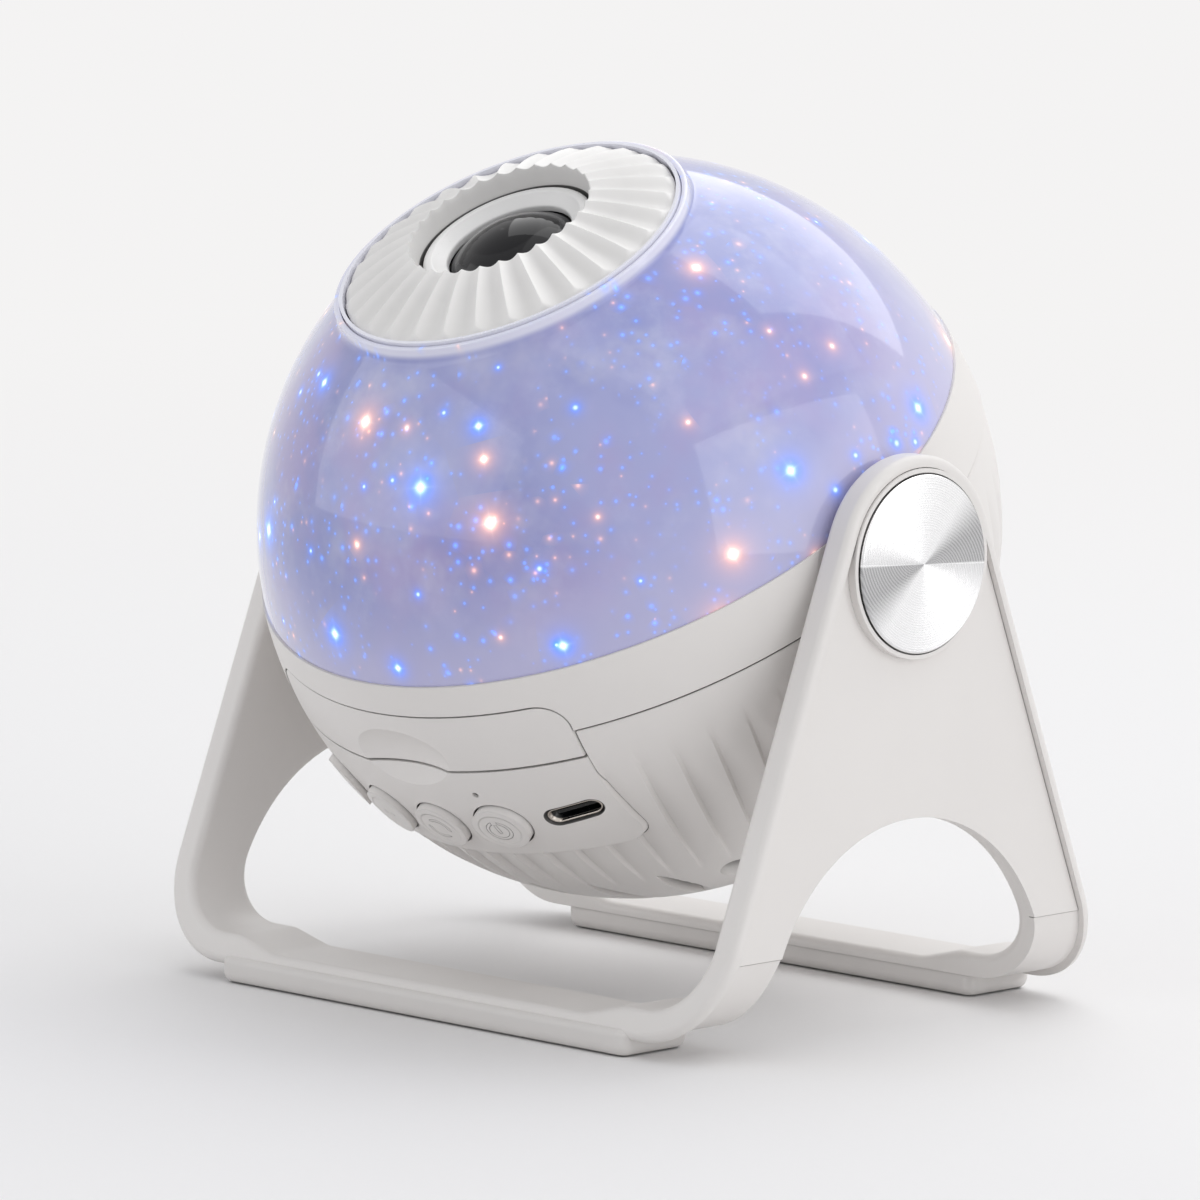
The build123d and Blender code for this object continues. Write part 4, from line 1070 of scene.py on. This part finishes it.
class PROJECTOR_OT_inside(bpy.types.Operator):
    """Finish what lies inside the globe"""

    bl_idname = "projector.inside"
    bl_label = "Inside"

    def execute(self, context):
        dress(moulded_plastic("chassis_plastic", (0.09, 0.092, 0.10), 2e-5, 0.6), "chassis", "tact_switches")
        # The collar's pale tone also lightens the shaded gap round the focus ring: painted light.
        dress(moulded_plastic("collar_plastic", (0.74, 0.73, 0.78), 1e-5, 0.5, shade_seams=False), "lens_collar")
        dress(moulded_plastic("tunnel_plastic", NEAR_BLACK, 2e-5, 0.7), "light_tunnel", "film_disc")
        dress(moulded_plastic("pipe_smoke", NEAR_BLACK, 4e-6, 0.5), "status_light_pipe")
        dress(moulded_plastic("phosphor", (0.80, 0.60, 0.12), 1e-5, 0.4), "led_emitter", "halo_leds")
        dress(circuit_board("green_board", (0.01, 0.10, 0.045), (0.03, 0.20, 0.08)), "control_board")
        white = circuit_board("white_board", (0.72, 0.72, 0.72), (0.58, 0.58, 0.58))
        dress(white, "led_board", "halo_board")
        dress(plain_metal("sink_aluminium", (0.62, 0.62, 0.64), 0.4), "heat_sink")
        dress(lens_glass("film_gloss", (0.05, 0.08, 0.30)), "star_film")
        return {"FINISHED"}


class PROJECTOR_OT_stage(bpy.types.Operator):
    """Set the floor, the lamps, the room and the camera"""

    bl_idname = "projector.stage"
    bl_label = "Stage"

    def execute(self, context):
        stage = context.scene.projector.stage
        self.floor(stage)
        self.lamps(stage)
        self.room(context.scene, stage)
        self.camera(context.scene)
        context.scene.view_settings.view_transform = "Standard"
        return {"FINISHED"}

    def floor(self, stage):
        """A pale floor that keeps the shadow and fades into the backdrop further out."""
        mesh = bpy.data.meshes.new("floor")
        far = 6.0
        mesh.from_pydata([(-far, -far, 0), (far, -far, 0), (far, far, 0), (-far, far, 0)], [], [(0, 1, 2, 3)])
        floor = placed("floor", mesh)
        finish = Finish("floor_paper")
        fibre = finish.noise(finish.place, 700.0, 3.0)
        finish.set(
            base_color=finish.blend(fibre, stage.floor, darker(stage.floor, 0.985)),
            roughness=0.75,
            normal=finish.bump(fibre, 2e-6, 0.3),
        )
        white = finish.node("ShaderNodeEmission", {}, {"Color": BACKDROP, "Strength": 1.0})
        fade = finish.seen() * finish.length(finish.place).step(0.22, 1.1)
        finish.show(fade, Wire(finish, finish.shader.outputs[0]), white, "Material Output")
        mesh.materials.append(finish.material)

    def lamps(self, stage):
        """Soft lamps that face the pivot: name, place, width, height and share of the power."""
        for name, spot, wide, tall, share in (
            ("back_softbox", (-0.35, 0.95, 1.45), 2.1, 1.6, 1.15),
            ("top_softbox", (0.60, 0.20, 1.85), 2.6, 2.2, 0.95),
            ("right_softbox", (1.75, 0.35, 0.55), 2.2, 1.4, 1.05),
            ("front_softbox", (-1.05, -1.65, 0.75), 3.0, 1.4, 0.8),
        ):
            lamp = bpy.data.lights.new(name, "AREA")
            lamp.shape = "RECTANGLE"
            lamp.size = wide
            lamp.size_y = tall
            lamp.energy = stage.key_power * share
            holder = placed(name, lamp)
            holder.location = spot
            holder.rotation_euler = (PIVOT - Vector(spot)).to_track_quat("-Z", "Y").to_euler()

    def room(self, scene, stage):
        """An even light, dimmer than the backdrop that the camera sees."""
        scene.world = bpy.data.worlds.new("room")
        scene.world.use_nodes = True
        room = Nodes(scene.world.node_tree)
        back = room.tree.nodes["Background"]
        room.plug(back.inputs["Color"], BACKDROP)
        room.plug(back.inputs["Strength"], 1.0)
        dim = room.node("ShaderNodeBackground", {}, {"Color": (0.95, 0.97, 1.0), "Strength": stage.room})
        room.show(room.seen(), dim, Wire(room, back.outputs[0]), "World Output")

    def camera(self, scene):
        """A long lens from the front right; pixels are those of the square frame."""
        frame_side, focal, pivot_across, pivot_down = 1200.0, 8762.66, 629.288, 525.533
        azimuth, elevation, roll, away = 0.786677, 0.123401, 0.007837, 23.5128 * GLOBE * MM
        back_way = Vector((sin(azimuth) * cos(elevation), -cos(azimuth) * cos(elevation), sin(elevation)))
        level = Vector((cos(azimuth), sin(azimuth), 0.0))
        rise = back_way.cross(level)
        across = level * cos(roll) + rise * sin(roll)
        upright = rise * cos(roll) - level * sin(roll)
        eye = bpy.data.cameras.new("camera")
        eye.sensor_width = 36.0
        eye.lens = focal / frame_side * eye.sensor_width
        eye.shift_x = (frame_side / 2 - pivot_across) / frame_side
        eye.shift_y = (pivot_down - frame_side / 2) / frame_side
        eye.clip_start = 0.05
        scene.camera = placed("camera", eye)
        for column, way in enumerate((across, upright, back_way, PIVOT + back_way * away)):
            for row in range(3):
                scene.camera.matrix_world[row][column] = way[row]


class PROJECTOR_PT_panel(bpy.types.Panel):
    """Lists the projector's pieces and their settings"""

    bl_idname = "PROJECTOR_PT_panel"
    bl_label = "Planetarium projector"
    bl_space_type = "VIEW_3D"
    bl_region_type = "UI"
    bl_category = "Projector"

    def draw(self, context):
        settings = context.scene.projector
        for operator in OPERATORS:
            self.layout.operator(operator.bl_idname)
        for group in (settings.dome, settings.shell, settings.disc, settings.fluting, settings.stage):
            box = self.layout.box()
            for name in group.__annotations__:
                box.prop(group, name)


GROUPS = (DomeSettings, ShellSettings, DiscSettings, FlutingSettings, StageSettings, ProjectorSettings)
OPERATORS = (
    PROJECTOR_OT_stand,
    PROJECTOR_OT_cap_discs,
    PROJECTOR_OT_dome,
    PROJECTOR_OT_shells,
    PROJECTOR_OT_focus,
    PROJECTOR_OT_front,
    PROJECTOR_OT_inside,
    PROJECTOR_OT_stage,
)
CLASSES = (*GROUPS, *OPERATORS, PROJECTOR_PT_panel)


def register():
    for item in CLASSES:
        bpy.utils.register_class(item)
    bpy.types.Scene.projector = PointerProperty(type=ProjectorSettings)


def unregister():
    del bpy.types.Scene.projector
    for item in reversed(CLASSES):
        bpy.utils.unregister_class(item)


def main():
    register()
    bpy.ops.projector.stand()
    bpy.ops.projector.cap_discs()
    bpy.ops.projector.dome()
    bpy.ops.projector.shells()
    bpy.ops.projector.focus()
    bpy.ops.projector.front()
    bpy.ops.projector.inside()
    bpy.ops.projector.stage()


if __name__ == "__main__":
    main()
